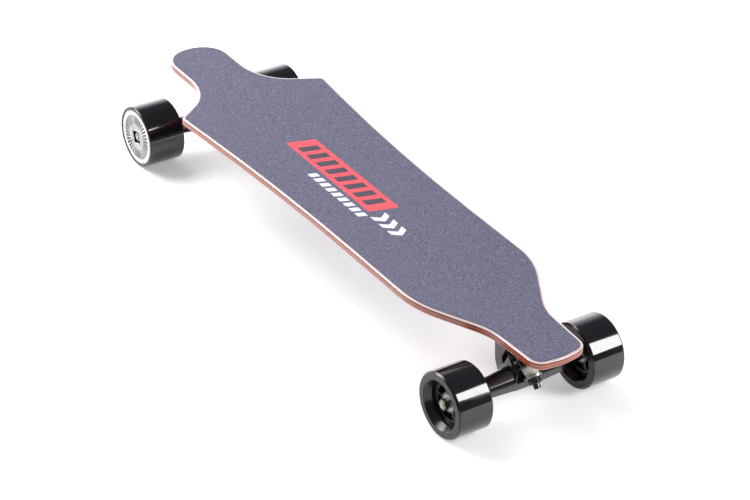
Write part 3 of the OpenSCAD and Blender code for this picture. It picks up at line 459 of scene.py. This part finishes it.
def stacked_steel():
    """A stack of thin steel sheets, seen from its edge."""
    f = Finish("stacked_steel", Metallic=0.9)
    sheets = f.node("ShaderNodeTexWave", {"bands_direction": "Y"}, Vector=f.place, Scale=330.0)
    cloud = f.noise(200, 3)
    colour = f.mix(sheets, (0.10, 0.10, 0.11), (0.28, 0.28, 0.30))
    return f.paint(Base_Color=colour, Roughness=0.4 + cloud * 0.15, Normal=f.relief(sheets, 0.1 * MM, 0.5))


def pale_bushing():
    """Pale poured urethane with a little road dirt."""
    f = Finish("pale_bushing", Subsurface_Weight=0.15, Coat_Roughness=0.2)
    cloud = f.noise(120, 3)
    dirt = f.spread(f.noise(380, 3), 0.55, 0.75)
    colour = f.mix(f.spread(cloud, 0.3, 0.7), (0.80, 0.76, 0.66), (0.88, 0.85, 0.77))
    colour = f.mix(dirt * 0.3, colour, (0.35, 0.30, 0.24))
    return f.paint(Base_Color=colour, Roughness=0.38 + cloud * 0.15, Normal=f.relief(cloud, 0.08 * MM, 0.4))


FINISHES = {
    "maple": lacquered_maple(),
    "grip": grit_tape(),
    "black_metal": gloss_black_coat(),
    "dark_steel": metal("dark_steel", (0.06, 0.055, 0.055), (0.15, 0.14, 0.135), 0.28),
    "steel": metal("ground_steel", (0.30, 0.30, 0.31), (0.50, 0.50, 0.51), 0.28, (500, 40, 500)),
    "zinc": metal("bright_zinc", (0.62, 0.62, 0.63), (0.82, 0.82, 0.83), 0.22),
    "brass": metal("yellow_zinc", (0.20, 0.17, 0.13), (0.36, 0.32, 0.25), 0.30),
    "urethane": cast_urethane("front_urethane", FRONT_AXLE),
    "bushing_urethane": pale_bushing(),
    "core_plastic": moulded("core_plastic", (0.004, 0.004, 0.005), 0.22, 0.03, 1800, 0.4),
    "white_cover": spun_cover(),
    "motor_black": moulded("black_anodised", (0.018, 0.018, 0.020), 0.35, 0.04, 2200),
    "magnet": metal("nickel_plate", (0.36, 0.36, 0.37), (0.5, 0.5, 0.5), 0.25),
    "lamination": stacked_steel(),
    "copper": wound_copper(),
    "rubber": moulded("rubber", (0.014, 0.014, 0.015), 0.65, 0.10, 1100),
    "tub_plastic": moulded("tub_plastic", (0.016, 0.016, 0.018), 0.42, 0.16, 850),
    "cell_wrap": shrink_sleeve(),
    "circuit_board": solder_mask(),
    "controller_aluminium": metal("bead_blasted", (0.42, 0.43, 0.45), (0.56, 0.57, 0.59), 0.45),
    "button_red": moulded("button_red", (0.50, 0.012, 0.014), 0.25, 0.02, 1500, 0.5, (0.62, 0.03, 0.03)),
}
REAR_URETHANE = cast_urethane("rear_urethane", REAR_AXLE)

SLOT_OF = {
    "deck": "maple", "grip_tape": "grip", "riser_pad": "rubber", "truck_bolts": "dark_steel",
    "truck_nuts": "zinc", "baseplate": "black_metal", "pivot_cup": "bushing_urethane",
    "kingpin": "dark_steel", "kingpin_nut": "dark_steel", "board_bushing": "bushing_urethane",
    "road_bushing": "bushing_urethane", "cup_washers": "zinc", "hanger": "black_metal",
    "axle": "steel", "spacers": "steel", "speed_washers": "zinc", "axle_nuts": "brass",
    "tyre": "urethane", "core": "core_plastic", "bearings": "steel", "motor_can": "motor_black",
    "motor_cover": "white_cover", "cover_screws": "zinc", "magnets": "magnet",
    "motor_stators": "lamination", "motor_windings": "copper", "motor_cable": "rubber",
    "cable_glands": "tub_plastic", "enclosure": "tub_plastic", "enclosure_gasket": "rubber",
    "enclosure_screws": "dark_steel", "battery_cells": "cell_wrap", "battery_board": "circuit_board",
    "motor_controller": "controller_aluminium", "power_button": "button_red",
    "charge_socket": "zinc", "charge_cap": "rubber",
}


def slot_of(node):
    """The slot of a node, by the longest ending of its name that has one."""
    words = node.split("_")
    for start in range(len(words)):
        if "_".join(words[start:]) in SLOT_OF:
            return SLOT_OF["_".join(words[start:])]
    raise KeyError(node)


def finish_of(node):
    return REAR_URETHANE if node in ("rear_left_tyre", "rear_right_tyre") else FINISHES[slot_of(node)]


# ---- mesh helpers ----

def linked(name, data):
    """A new object in the scene."""
    made = bpy.data.objects.new(name, data)
    bpy.context.scene.collection.objects.link(made)
    return made


def finished(name, mesh, node, smooth_caps=True):
    """An object with a node's finish. Faces other than quads are caps, which may stay flat."""
    mesh.materials.clear()
    mesh.materials.append(finish_of(node))
    for face in mesh.polygons:
        face.use_smooth = smooth_caps or len(face.vertices) == 4
    return linked(name, mesh)


def stands_for(node):
    """Hides the node that a piece replaces, and looks up the node's slot."""
    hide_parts(node)
    slot_of(node)


def new_piece(name, mesh, node):
    """An object that rides with its node's body and stands for the node."""
    piece = finished(name, mesh, node)
    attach(piece, body_of[node])
    stands_for(node)
    return piece


def bending_piece(piece, node, start, end):
    """Bakes a piece's place into its mesh and lets it stand for its node."""
    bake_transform(piece)
    stands_for(node)


def even_normals(piece):
    """Keeps large faces even in shade where they meet a rounded edge."""
    modifier = piece.modifiers.new("even_normals", "WEIGHTED_NORMAL")
    modifier.keep_sharp = True
    modifier.weight = 80


def mesh_from(name, points, faces):
    mesh = bpy.data.meshes.new(name)
    mesh.from_pydata([tuple(p) for p in points], [], faces)
    work = bmesh.new()
    work.from_mesh(mesh)
    bmesh.ops.remove_doubles(work, verts=work.verts, dist=1e-7)
    bmesh.ops.recalc_face_normals(work, faces=work.faces)
    work.to_mesh(mesh)
    work.free()
    return mesh


def corner_arc(before, corner, after, step):
    """Points that round one corner (x, y, radius) of an outline."""
    point = Vector(corner[:2])
    to_before = Vector(before[:2]) - point
    to_after = Vector(after[:2]) - point
    if corner[2] <= 0:
        return [point]
    half = to_before.angle(to_after) / 2
    reach = min(corner[2] / math.tan(half), 0.75 * min(to_before.length, to_after.length))
    bisector = (to_before.normalized() + to_after.normalized()).normalized()
    centre = point + bisector * (reach / math.cos(half))
    start = point + to_before.normalized() * reach - centre
    end = point + to_after.normalized() * reach - centre
    sweep = math.copysign(math.pi - 2 * half, start.x * end.y - start.y * end.x)
    steps = max(4, math.ceil(abs(sweep) / step))
    return [centre + Matrix.Rotation(sweep * i / steps, 2) @ start for i in range(steps + 1)]


def rounded(corners, step):
    """A closed outline with its corners rounded, in steps of an angle."""
    points = []
    for i, corner in enumerate(corners):
        points += corner_arc(corners[i - 1], corner, corners[(i + 1) % len(corners)], step)
    return points


def moved_in(points, distance):
    """A clockwise outline moved inwards."""
    moved = []
    for i, point in enumerate(points):
        along = (points[(i + 1) % len(points)] - points[i - 1]).normalized()
        moved.append(point + distance * Vector((along.y, -along.x)))
    return moved


def sheet(y, depth):
    """Height of the concave sheet that lies at a depth below the deck's top face."""
    return DECK_TOP + CONCAVE_RADIUS - math.sqrt((CONCAVE_RADIUS + depth) ** 2 - y * y)


def band(count, start_a, start_b):
    """Quads between two closed rings of points."""
    return [(start_a + i, start_a + (i + 1) % count, start_b + (i + 1) % count, start_b + i)
            for i in range(count)]


def inner_grid(outline, spacing):
    """Even rows of points over the rectangle around an outline."""
    low_x, high_x = min(p.x for p in outline), max(p.x for p in outline)
    low_y, high_y = min(p.y for p in outline), max(p.y for p in outline)
    columns = int((high_x - low_x) / spacing)
    rows = int((high_y - low_y) / spacing)
    return [Vector((low_x + (i + 0.5) * (high_x - low_x) / columns,
                    low_y + (j + 0.5) * (high_y - low_y) / rows))
            for i in range(columns) for j in range(rows)]


def filled(outline, depth):
    """Points and triangles that fill an outline and follow the concave at a depth."""
    count = len(outline)
    grid = inner_grid(outline, 14 * MM)
    edges = [(i, (i + 1) % count) for i in range(count)]
    made = geometry.delaunay_2d_cdt(list(outline) + grid, edges, [], 1, 1e-7)
    return [(p.x, p.y, sheet(p.y, depth)) for p in made[0]], [tuple(face) for face in made[2]]


def lathe(name, profile, place, segments):
    """A closed profile of (radius, height) turned about the local z axis."""
    points = []
    for k in range(segments):
        turn = Matrix.Rotation(math.tau * k / segments, 3, "Z")
        points += [place @ (turn @ Vector((p[0], 0, p[1]))) for p in profile]
    count = len(profile)
    faces = []
    for k in range(segments):
        a = k * count
        b = (k + 1) % segments * count
        faces += [(a + i, b + i, b + (i + 1) % count, a + (i + 1) % count) for i in range(count)]
    return mesh_from(name, points, faces)


def evaluated(piece):
    graph = bpy.context.evaluated_depsgraph_get()
    return bpy.data.meshes.new_from_object(piece.evaluated_get(graph))


def clean_copy(node):
    """A node's mesh with its flat faces whole, ready to have its edges eased."""
    work = bmesh.new()
    work.from_mesh(frame["nodes"][node].data)
    bmesh.ops.remove_doubles(work, verts=work.verts, dist=2e-6)
    bmesh.ops.dissolve_limit(work, angle_limit=math.radians(0.6), verts=work.verts, edges=work.edges)
    return work


SHARP_EDGE = math.radians(32)


def eased(node, width, segments=2):
    """A copy of a node whose sharp edges are rounded over by a small width."""
    work = clean_copy(node)
    sharp = [edge for edge in work.edges
             if len(edge.link_faces) == 2 and edge.calc_face_angle(0) > SHARP_EDGE]
    bmesh.ops.bevel(work, geom=sharp, offset=width, segments=segments, profile=0.5, affect="EDGES",
                    clamp_overlap=False)
    mesh = bpy.data.meshes.new(node)
    work.to_mesh(mesh)
    work.free()
    if "custom_normal" in mesh.attributes:
        mesh.attributes.remove(mesh.attributes["custom_normal"])
    even_normals(new_piece(node + "_eased", mesh, node))


def cast(node, voxel, smoothing):
    """A copy of a node with the soft corners and fillets of a casting."""
    source = linked(node + "_source", frame["nodes"][node].data.copy())
    remesh = source.modifiers.new("voxels", "REMESH")
    remesh.mode = "VOXEL"
    remesh.voxel_size = voxel
    smooth = source.modifiers.new("soften", "SMOOTH")
    smooth.iterations = smoothing
    smooth.factor = 0.5
    thin = source.modifiers.new("thin", "DECIMATE")
    thin.ratio = 0.45
    mesh = evaluated(source)
    bpy.data.objects.remove(source)
    new_piece(node + "_cast", mesh, node)


# ---- deck and grip tape ----

REAR_NECK = 45 * MM
FRONT_NECK = 44.5 * MM
DECK_HALF = [                                 # from the rear end to the front, on the left side
    (DECK_LOW.x, REAR_NECK, 43 * MM),
    (REAR_AXLE.x + 50 * MM, REAR_NECK, 98 * MM),
    (REAR_AXLE.x + 110 * MM, 118.5 * MM, 11 * MM),
    (-40 * MM, 97 * MM, 3.59),
    (FRONT_AXLE.x - 109 * MM, 97 * MM, 120 * MM),
    (FRONT_AXLE.x - 18 * MM, FRONT_NECK, 85 * MM),
    (FRONT_AXLE.x + 72 * MM, 40 * MM, 18 * MM)]
FRONT_TIP = (FRONT_AXLE.x + 76.8 * MM, 0, 110 * MM)
DECK_OUTLINE = rounded(DECK_HALF + [FRONT_TIP] + [(x, -y, r) for x, y, r in reversed(DECK_HALF)],
                       step=math.radians(3))


def pressed_sheet(name, node, edge, top_depth, bottom_depth):
    """A sheet in the deck's outline: edge lists (move in, depth) from its top face to its underside."""
    points = []
    faces = []
    count = len(DECK_OUTLINE)
    for move_in, depth in edge:
        points += [(p.x, p.y, sheet(p.y, depth)) for p in moved_in(DECK_OUTLINE, move_in)]
    for row in range(len(edge) - 1):
        faces += band(count, row * count, (row + 1) * count)
    for move_in, depth in ((edge[0][0], top_depth), (edge[-1][0], bottom_depth)):
        start = len(points)
        cap_points, cap_faces = filled(moved_in(DECK_OUTLINE, move_in), depth)
        points += cap_points
        faces += [tuple(start + i for i in face) for face in cap_faces]
    even_normals(new_piece(name, mesh_from(name, points, faces), node))


def quarter(radius, depth, upwards, steps=6):
    """(move in, depth) of a rounded edge, from its flat face to its upright face or back."""
    turns = [math.pi / 2 * i / steps for i in range(steps + 1)]
    way = 1
    if upwards:
        turns.reverse()
        way = -1
    return [(radius * (1 - math.sin(t)), depth + way * radius * (1 - math.cos(t))) for t in turns]


DECK_EDGE = quarter(2.6 * MM, 0, False) + quarter(3.2 * MM, DECK_THICKNESS, True)
GRIP_FOOT = -0.05 * MM                       # the tape starts a hair above the wood
GRIP_EDGE = [(GRIP_INSET + 0.3 * MM, -GRIP_THICKNESS), (GRIP_INSET, -GRIP_THICKNESS + 0.25 * MM),
             (GRIP_INSET, GRIP_FOOT)]
pressed_sheet("pressed_deck", "deck", DECK_EDGE, 0, DECK_THICKNESS)
pressed_sheet("grit_sheet", "grip_tape", GRIP_EDGE, -GRIP_THICKNESS, GRIP_FOOT)


# ---- wheels ----

def wheel_place(end, side):
    """Local z points away from the board along the axle."""
    centre = Vector((AXLES[end].x, SIDES[side] * HALF_TRACK, AXLES[end].z))
    return Matrix.Translation(centre) @ Matrix.Rotation(-math.pi / 2 * SIDES[side], 4, "X")


def both_faces(half):
    """A closed profile from its outer half."""
    return half + [(r, -z, fillet) for r, z, fillet in reversed(half)]


FRONT_TYRE = both_faces([
    (27.05 * MM, 12 * MM, 0), (29 * MM, 17 * MM, 3 * MM), (33.2 * MM, 24.2 * MM, 1.5 * MM),
    (34.8 * MM, 26 * MM, 1.2 * MM), (42.8 * MM, 26 * MM, 1 * MM), (45 * MM, 23.6 * MM, 2 * MM)])
REAR_TYRE = both_faces([
    (40.05 * MM, 28 * MM, 0.7 * MM), (43.6 * MM, 28 * MM, 0.8 * MM), (45 * MM, 26.5 * MM, 1.2 * MM)])

for side in SIDES:
    for end, profile in (("front", FRONT_TYRE), ("rear", REAR_TYRE)):
        node = f"{end}_{side}_tyre"
        mesh = lathe(node, rounded(profile, step=math.radians(9)), wheel_place(end, side), 192)
        even_normals(new_piece(node + "_poured", mesh, node))

for side in SIDES:
    eased(f"front_{side}_core", 0.5 * MM)
    eased(f"rear_{side}_cover_screws", 0.15 * MM, segments=1)
eased("front_axle_nuts", 0.5 * MM)
eased("rear_axle_nuts", 0.4 * MM)
eased("front_axle", 0.5 * MM)
eased("front_speed_washers", 0.12 * MM, segments=1)


# ---- trucks ----

for end in AXLES:
    cast(f"{end}_hanger", 0.8 * MM, 5)
    cast(f"{end}_baseplate", 0.8 * MM, 7)
    eased(f"{end}_kingpin", 0.4 * MM)
    eased(f"{end}_kingpin_nut", 0.5 * MM)
    eased(f"{end}_cup_washers", 0.3 * MM)


def kingpin_place(end):
    """Local z runs down the kingpin from the middle of the hanger's ring."""
    out = 1 if end == "front" else -1
    down = Vector((out * math.sin(STEER_ANGLE), 0, -math.cos(STEER_ANGLE)))
    across = Vector((0, 1, 0))
    origin = AXLES[end] + Vector((out * RING_OUT, 0, RING_UP))
    axes = Matrix((across.cross(down), across, down)).transposed()
    return Matrix.Translation(origin) @ axes.to_4x4()


def bushing(end, which):
    """A poured bushing on the kingpin, beside the hanger's ring."""
    node = f"{end}_{which}_bushing"
    place = kingpin_place(end)
    way = -1 if which == "board" else 1
    inner = KINGPIN_RADIUS + 0.1 * MM
    end_radius = BUSHING_RADIUS if which == "board" else BUSHING_RADIUS - 2.5 * MM
    near = RING_HALF + 0.05 * MM
    lip = 0.8 * MM
    side = []
    for row in range(BUSHING_ROWS):          # rows evenly spaced along its side
        part = row / (BUSHING_ROWS - 1)
        height = near + lip + (BUSHING_HEIGHT - 2 * lip) * part
        side.append((BUSHING_RADIUS + (end_radius - BUSHING_RADIUS) * part, height))
    profile = [(inner, near), (BUSHING_RADIUS - lip, near)] + side
    profile += [(end_radius - lip, near + BUSHING_HEIGHT), (inner, near + BUSHING_HEIGHT)]
    mesh = lathe(node, [(r, way * z) for r, z in profile], place, 64)
    bending_piece(finished(node + "_poured", mesh, node), node,
                  start=place @ Vector((0, 0, way * near)),
                  end=place @ Vector((0, 0, way * (near + BUSHING_HEIGHT))))


for end in AXLES:
    for which in ("board", "road"):
        bushing(end, which)


# ---- motor cables ----

CABLE_RADIUS = 3 * MM
CABLE_CORNERS = 20
CABLE_STEPS = 28
GLAND_Z = middle("cable_glands").z
GLAND_Y = 38 * MM
CABLE_Y = 72 * MM
TUB_REAR_IN = 116.5 * MM                     # from the rear axle to the inside of the tub
CABLE_START = Vector((8 * MM, CABLE_Y, 0))
CABLE_TURN = Vector((40 * MM, CABLE_Y, 0))
CABLE_RISE = Vector((TUB_REAR_IN - 66 * MM, GLAND_Y, GLAND_Z - REAR_AXLE.z))
CABLE_END = Vector((TUB_REAR_IN - 16 * MM, GLAND_Y, GLAND_Z - REAR_AXLE.z))


def cable_at(t):
    """A point on the cable's curve, from 0 at the axle to 1 at its gland."""
    return ((1 - t) ** 3 * CABLE_START + 3 * t * (1 - t) ** 2 * CABLE_TURN
            + 3 * t * t * (1 - t) * CABLE_RISE + t ** 3 * CABLE_END)


def cable(side):
    """A round cable that leaves the axle and enters its gland."""
    node = f"{side}_motor_cable"
    path = [CABLE_START - Vector((5 * MM, 0, 0))]
    path += [cable_at(i / CABLE_STEPS) for i in range(CABLE_STEPS + 1)]
    path += [CABLE_END + Vector((14 * MM * i, 0, 0)) for i in (1, 2, 3)]
    flip = Matrix.Diagonal((1, SIDES[side], 1))
    path = [flip @ p + REAR_AXLE for p in path]
    points = []
    faces = []
    for i, p in enumerate(path):
        along = (path[min(i + 1, len(path) - 1)] - path[max(i - 1, 0)]).normalized()
        across = Vector((0, 0, 1)).cross(along).normalized()
        up = along.cross(across)
        for k in range(CABLE_CORNERS):
            turn = math.tau * k / CABLE_CORNERS
            points.append(p + CABLE_RADIUS * (across * math.cos(turn) + up * math.sin(turn)))
        if i:
            faces += band(CABLE_CORNERS, (i - 1) * CABLE_CORNERS, i * CABLE_CORNERS)
    last_ring = len(points) - CABLE_CORNERS
    faces += [tuple(range(CABLE_CORNERS)), tuple(range(last_ring, len(points)))]
    mesh = mesh_from(node, points, faces)
    bending_piece(finished(node + "_bent", mesh, node, smooth_caps=False), node,
                  start=flip @ CABLE_START + REAR_AXLE, end=flip @ CABLE_END + REAR_AXLE)


for side in SIDES:
    cable(side)


# ---- electronics tub ----

TUB_LOW, TUB_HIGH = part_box("enclosure")
TUB_FLOOR = TUB_LOW.z
TUB_HALF_WIDTH = 66 * MM
TUB_WALL = 3 * MM
TUB_CORNER = 22 * MM
TUB_EDGE = 8 * MM
CORNER_STEPS = 12
SIDE_STEPS = 12                              # on a long side, which follows the concave
FLANGE = 11 * MM
FLANGE_TOP = DECK_THICKNESS + 1.6 * MM
FLANGE_BOTTOM = FLANGE_TOP + 4 * MM
FLANGE_BEND = 3 * MM
FLANGE_EASE = 0.8 * MM
TUB_X = (TUB_LOW.x + FLANGE, TUB_HIGH.x - FLANGE)


def tub_ring(grow, z=None, depth=None):
    """A rounded rectangle around the tub, flat at a height or along the concave at a depth."""
    rear, front = TUB_X[0] - grow, TUB_X[1] + grow
    half_y = TUB_HALF_WIDTH + grow
    radius = TUB_CORNER + grow
    outline = []
    for i, (x, y) in enumerate([(rear, half_y), (front, half_y), (front, -half_y), (rear, -half_y)]):
        centre = Vector((x - math.copysign(radius, x - sum(TUB_X) / 2), y - math.copysign(radius, y)))
        start = math.pi - i * math.pi / 2
        for k in range(CORNER_STEPS + 1):
            turn = start - math.pi / 2 * k / CORNER_STEPS
            outline.append(centre + radius * Vector((math.cos(turn), math.sin(turn))))
    ring = []
    for i, p in enumerate(outline):
        q = outline[(i + 1) % len(outline)]
        steps = SIDE_STEPS if (p - q).length > 40 * MM else 1
        ring += [p.lerp(q, k / steps) for k in range(steps)]
    return [(p.x, p.y, z if depth is None else sheet(p.y, depth)) for p in ring]


def tub():
    """A thin tub: up its outside, out along its flange, and down its inside."""
    rings = []
    for i in range(7):
        turn = math.pi / 2 * (1 - i / 6)
        rings.append(tub_ring(-TUB_EDGE * (1 - math.cos(turn)),
                              z=TUB_FLOOR + TUB_EDGE * (1 - math.sin(turn))))
    for i in range(6):
        turn = math.pi / 2 * i / 5
        rings.append(tub_ring(FLANGE_BEND * (1 - math.cos(turn)),
                              depth=FLANGE_BOTTOM + FLANGE_BEND * (1 - math.sin(turn))))
    rings.append(tub_ring(FLANGE - FLANGE_EASE, depth=FLANGE_BOTTOM))
    rings.append(tub_ring(FLANGE, depth=FLANGE_BOTTOM - FLANGE_EASE))
    rings.append(tub_ring(FLANGE, depth=FLANGE_TOP + 0.5 * MM))
    rings.append(tub_ring(FLANGE - 0.5 * MM, depth=FLANGE_TOP))
    rings.append(tub_ring(-TUB_WALL, depth=FLANGE_TOP))
    inner_edge = TUB_EDGE - TUB_WALL
    for i in range(7):
        turn = math.pi / 2 * i / 6
        rings.append(tub_ring(-TUB_WALL - inner_edge * (1 - math.cos(turn)),
                              z=TUB_FLOOR + TUB_WALL + inner_edge * (1 - math.sin(turn))))
    count = len(rings[0])
    points = [p for ring in rings for p in ring]
    faces = []
    for row in range(len(rings) - 1):
        faces += band(count, row * count, (row + 1) * count)
    faces += [tuple(range(count)), tuple(range(len(points) - count, len(points)))]
    return mesh_from("tub", points, faces)


def drill(name, centre, radius, direction):
    """A plain round cutter, which isn't part of the board and is removed after its cut."""
    work = bmesh.new()
    turn = Vector((0, 0, 1)).rotation_difference(Vector(direction)).to_matrix().to_4x4()
    bmesh.ops.create_cone(work, cap_ends=True, segments=64, radius1=radius, radius2=radius,
                          depth=12 * MM, matrix=Matrix.Translation(centre) @ turn)
    mesh = bpy.data.meshes.new(name)
    work.to_mesh(mesh)
    work.free()
    return linked(name, mesh)


def drilled(mesh, cutters):
    """A mesh with round holes cut through it."""
    blank = linked("blank", mesh)
    for cutter in cutters:
        cut = blank.modifiers.new(cutter.name, "BOOLEAN")
        cut.operation = "DIFFERENCE"
        cut.solver = "EXACT"
        cut.object = cutter
    made = evaluated(blank)
    for spare in cutters + [blank]:
        bpy.data.objects.remove(spare)
    return made


PORT_Y = -TUB_HALF_WIDTH + TUB_WALL / 2
PORT_Z = middle("power_button").z
ACROSS = (0, 1, 0)
ALONG = (1, 0, 0)
cutters = [
    drill("button_hole", Vector((middle("power_button").x, PORT_Y, PORT_Z)), 6.3 * MM, ACROSS),
    drill("socket_hole", Vector((middle("charge_cap").x, PORT_Y, PORT_Z)), 8.05 * MM, ACROSS)]
for side, sign in SIDES.items():
    gland = Vector((TUB_X[0] + TUB_WALL / 2, sign * GLAND_Y, GLAND_Z))
    cutters.append(drill(side + "_gland_hole", gland, 5 * MM, ALONG))
even_normals(new_piece("formed_tub", drilled(tub(), cutters), "enclosure"))
for node in ("enclosure_screws", "power_button", "charge_cap"):
    eased(node, 0.3 * MM)

# every node that still shows, or lies inside, gets its finish
for node, thing in frame["nodes"].items():
    thing.data.materials.clear()
    thing.data.materials.append(finish_of(node))


# ---- studio ----

def floor():
    f = Finish("white_floor", Specular_IOR_Level=0.2)
    mottle = f.noise(3, 3)
    colour = f.mix(f.spread(mottle, 0.3, 0.7), (0.90, 0.89, 0.90), (0.93, 0.93, 0.93))
    f.paint(Base_Color=colour, Roughness=0.6 + mottle * 0.1, Emission_Color=colour, Emission_Strength=0.38)
    half = 8
    corners = [(-half, -half, 0), (half, -half, 0), (half, half, 0), (-half, half, 0)]
    mesh = mesh_from("floor", corners, [(0, 1, 2, 3)])
    mesh.materials.append(f.material)
    plane = linked("floor", mesh)


def studio_air():
    """Dim all round, with a pale backdrop behind the rear left that fades upwards."""
    world = bpy.data.worlds.new("studio_air")
    world.use_nodes = True
    air = Nodes(world.node_tree, "Background", "Generated")
    x, y, z = air.xyz()
    facing = air.spread(y * 0.57 - x * 0.82, 0.3, 0.9)
    low = air.spread(z, 0.62, 0.12)
    air.paint(Color=(0.86, 0.84, 0.90), Strength=0.20 + facing * low * 2.6)
    bpy.context.scene.world = world


def softbox(name, place, aim, width, height, power, colour=(1, 1, 1)):
    light = bpy.data.lights.new(name, "AREA")
    light.shape = "RECTANGLE"
    light.size = width
    light.size_y = height
    light.energy = power
    light.color = colour
    lamp = linked(name, light)
    lamp.location = place
    lamp.rotation_euler = (Vector(aim) - Vector(place)).to_track_quat("-Z", "Y").to_euler()


VIEW_PLACE = (2.3369, -1.6051, 1.8523)
VIEW_HEADING = math.radians(144.96)
VIEW_FALL = math.radians(32.88)
VIEW_LEAN = math.radians(2.394)
VIEW_LENS = 118.12


def camera():
    """The viewpoint: where it stands, which way it looks, and how much it leans."""
    ahead = Vector((math.cos(VIEW_FALL) * math.cos(VIEW_HEADING),
                    math.cos(VIEW_FALL) * math.sin(VIEW_HEADING), -math.sin(VIEW_FALL)))
    right = ahead.cross(Vector((0, 0, 1))).normalized()
    up = right.cross(ahead)
    tilted_right = right * math.cos(VIEW_LEAN) + up * math.sin(VIEW_LEAN)
    tilted_up = up * math.cos(VIEW_LEAN) - right * math.sin(VIEW_LEAN)
    made = bpy.data.cameras.new("camera")
    made.sensor_width = 36
    made.lens = VIEW_LENS
    viewer = linked("camera", made)
    axes = Matrix((tilted_right, tilted_up, -ahead)).transposed()
    viewer.matrix_world = Matrix.Translation(VIEW_PLACE) @ axes.to_4x4()
    bpy.context.scene.camera = viewer


floor()
softbox("top_softbox", (-2.2, -0.8, 2.1), (-0.4, 0, 0), 2.3, 2.2, 118)
softbox("left_softbox", (-1.9, -1.9, 1.5), (0, 0, 0.1), 1.8, 1.4, 30, (1.0, 0.97, 0.97))
softbox("right_softbox", (2.3, 1.7, 1.75), (0.38, 0, 0.05), 0.9, 1.7, 72)
camera()

studio_air()
bpy.context.scene.view_settings.view_transform = "Standard"
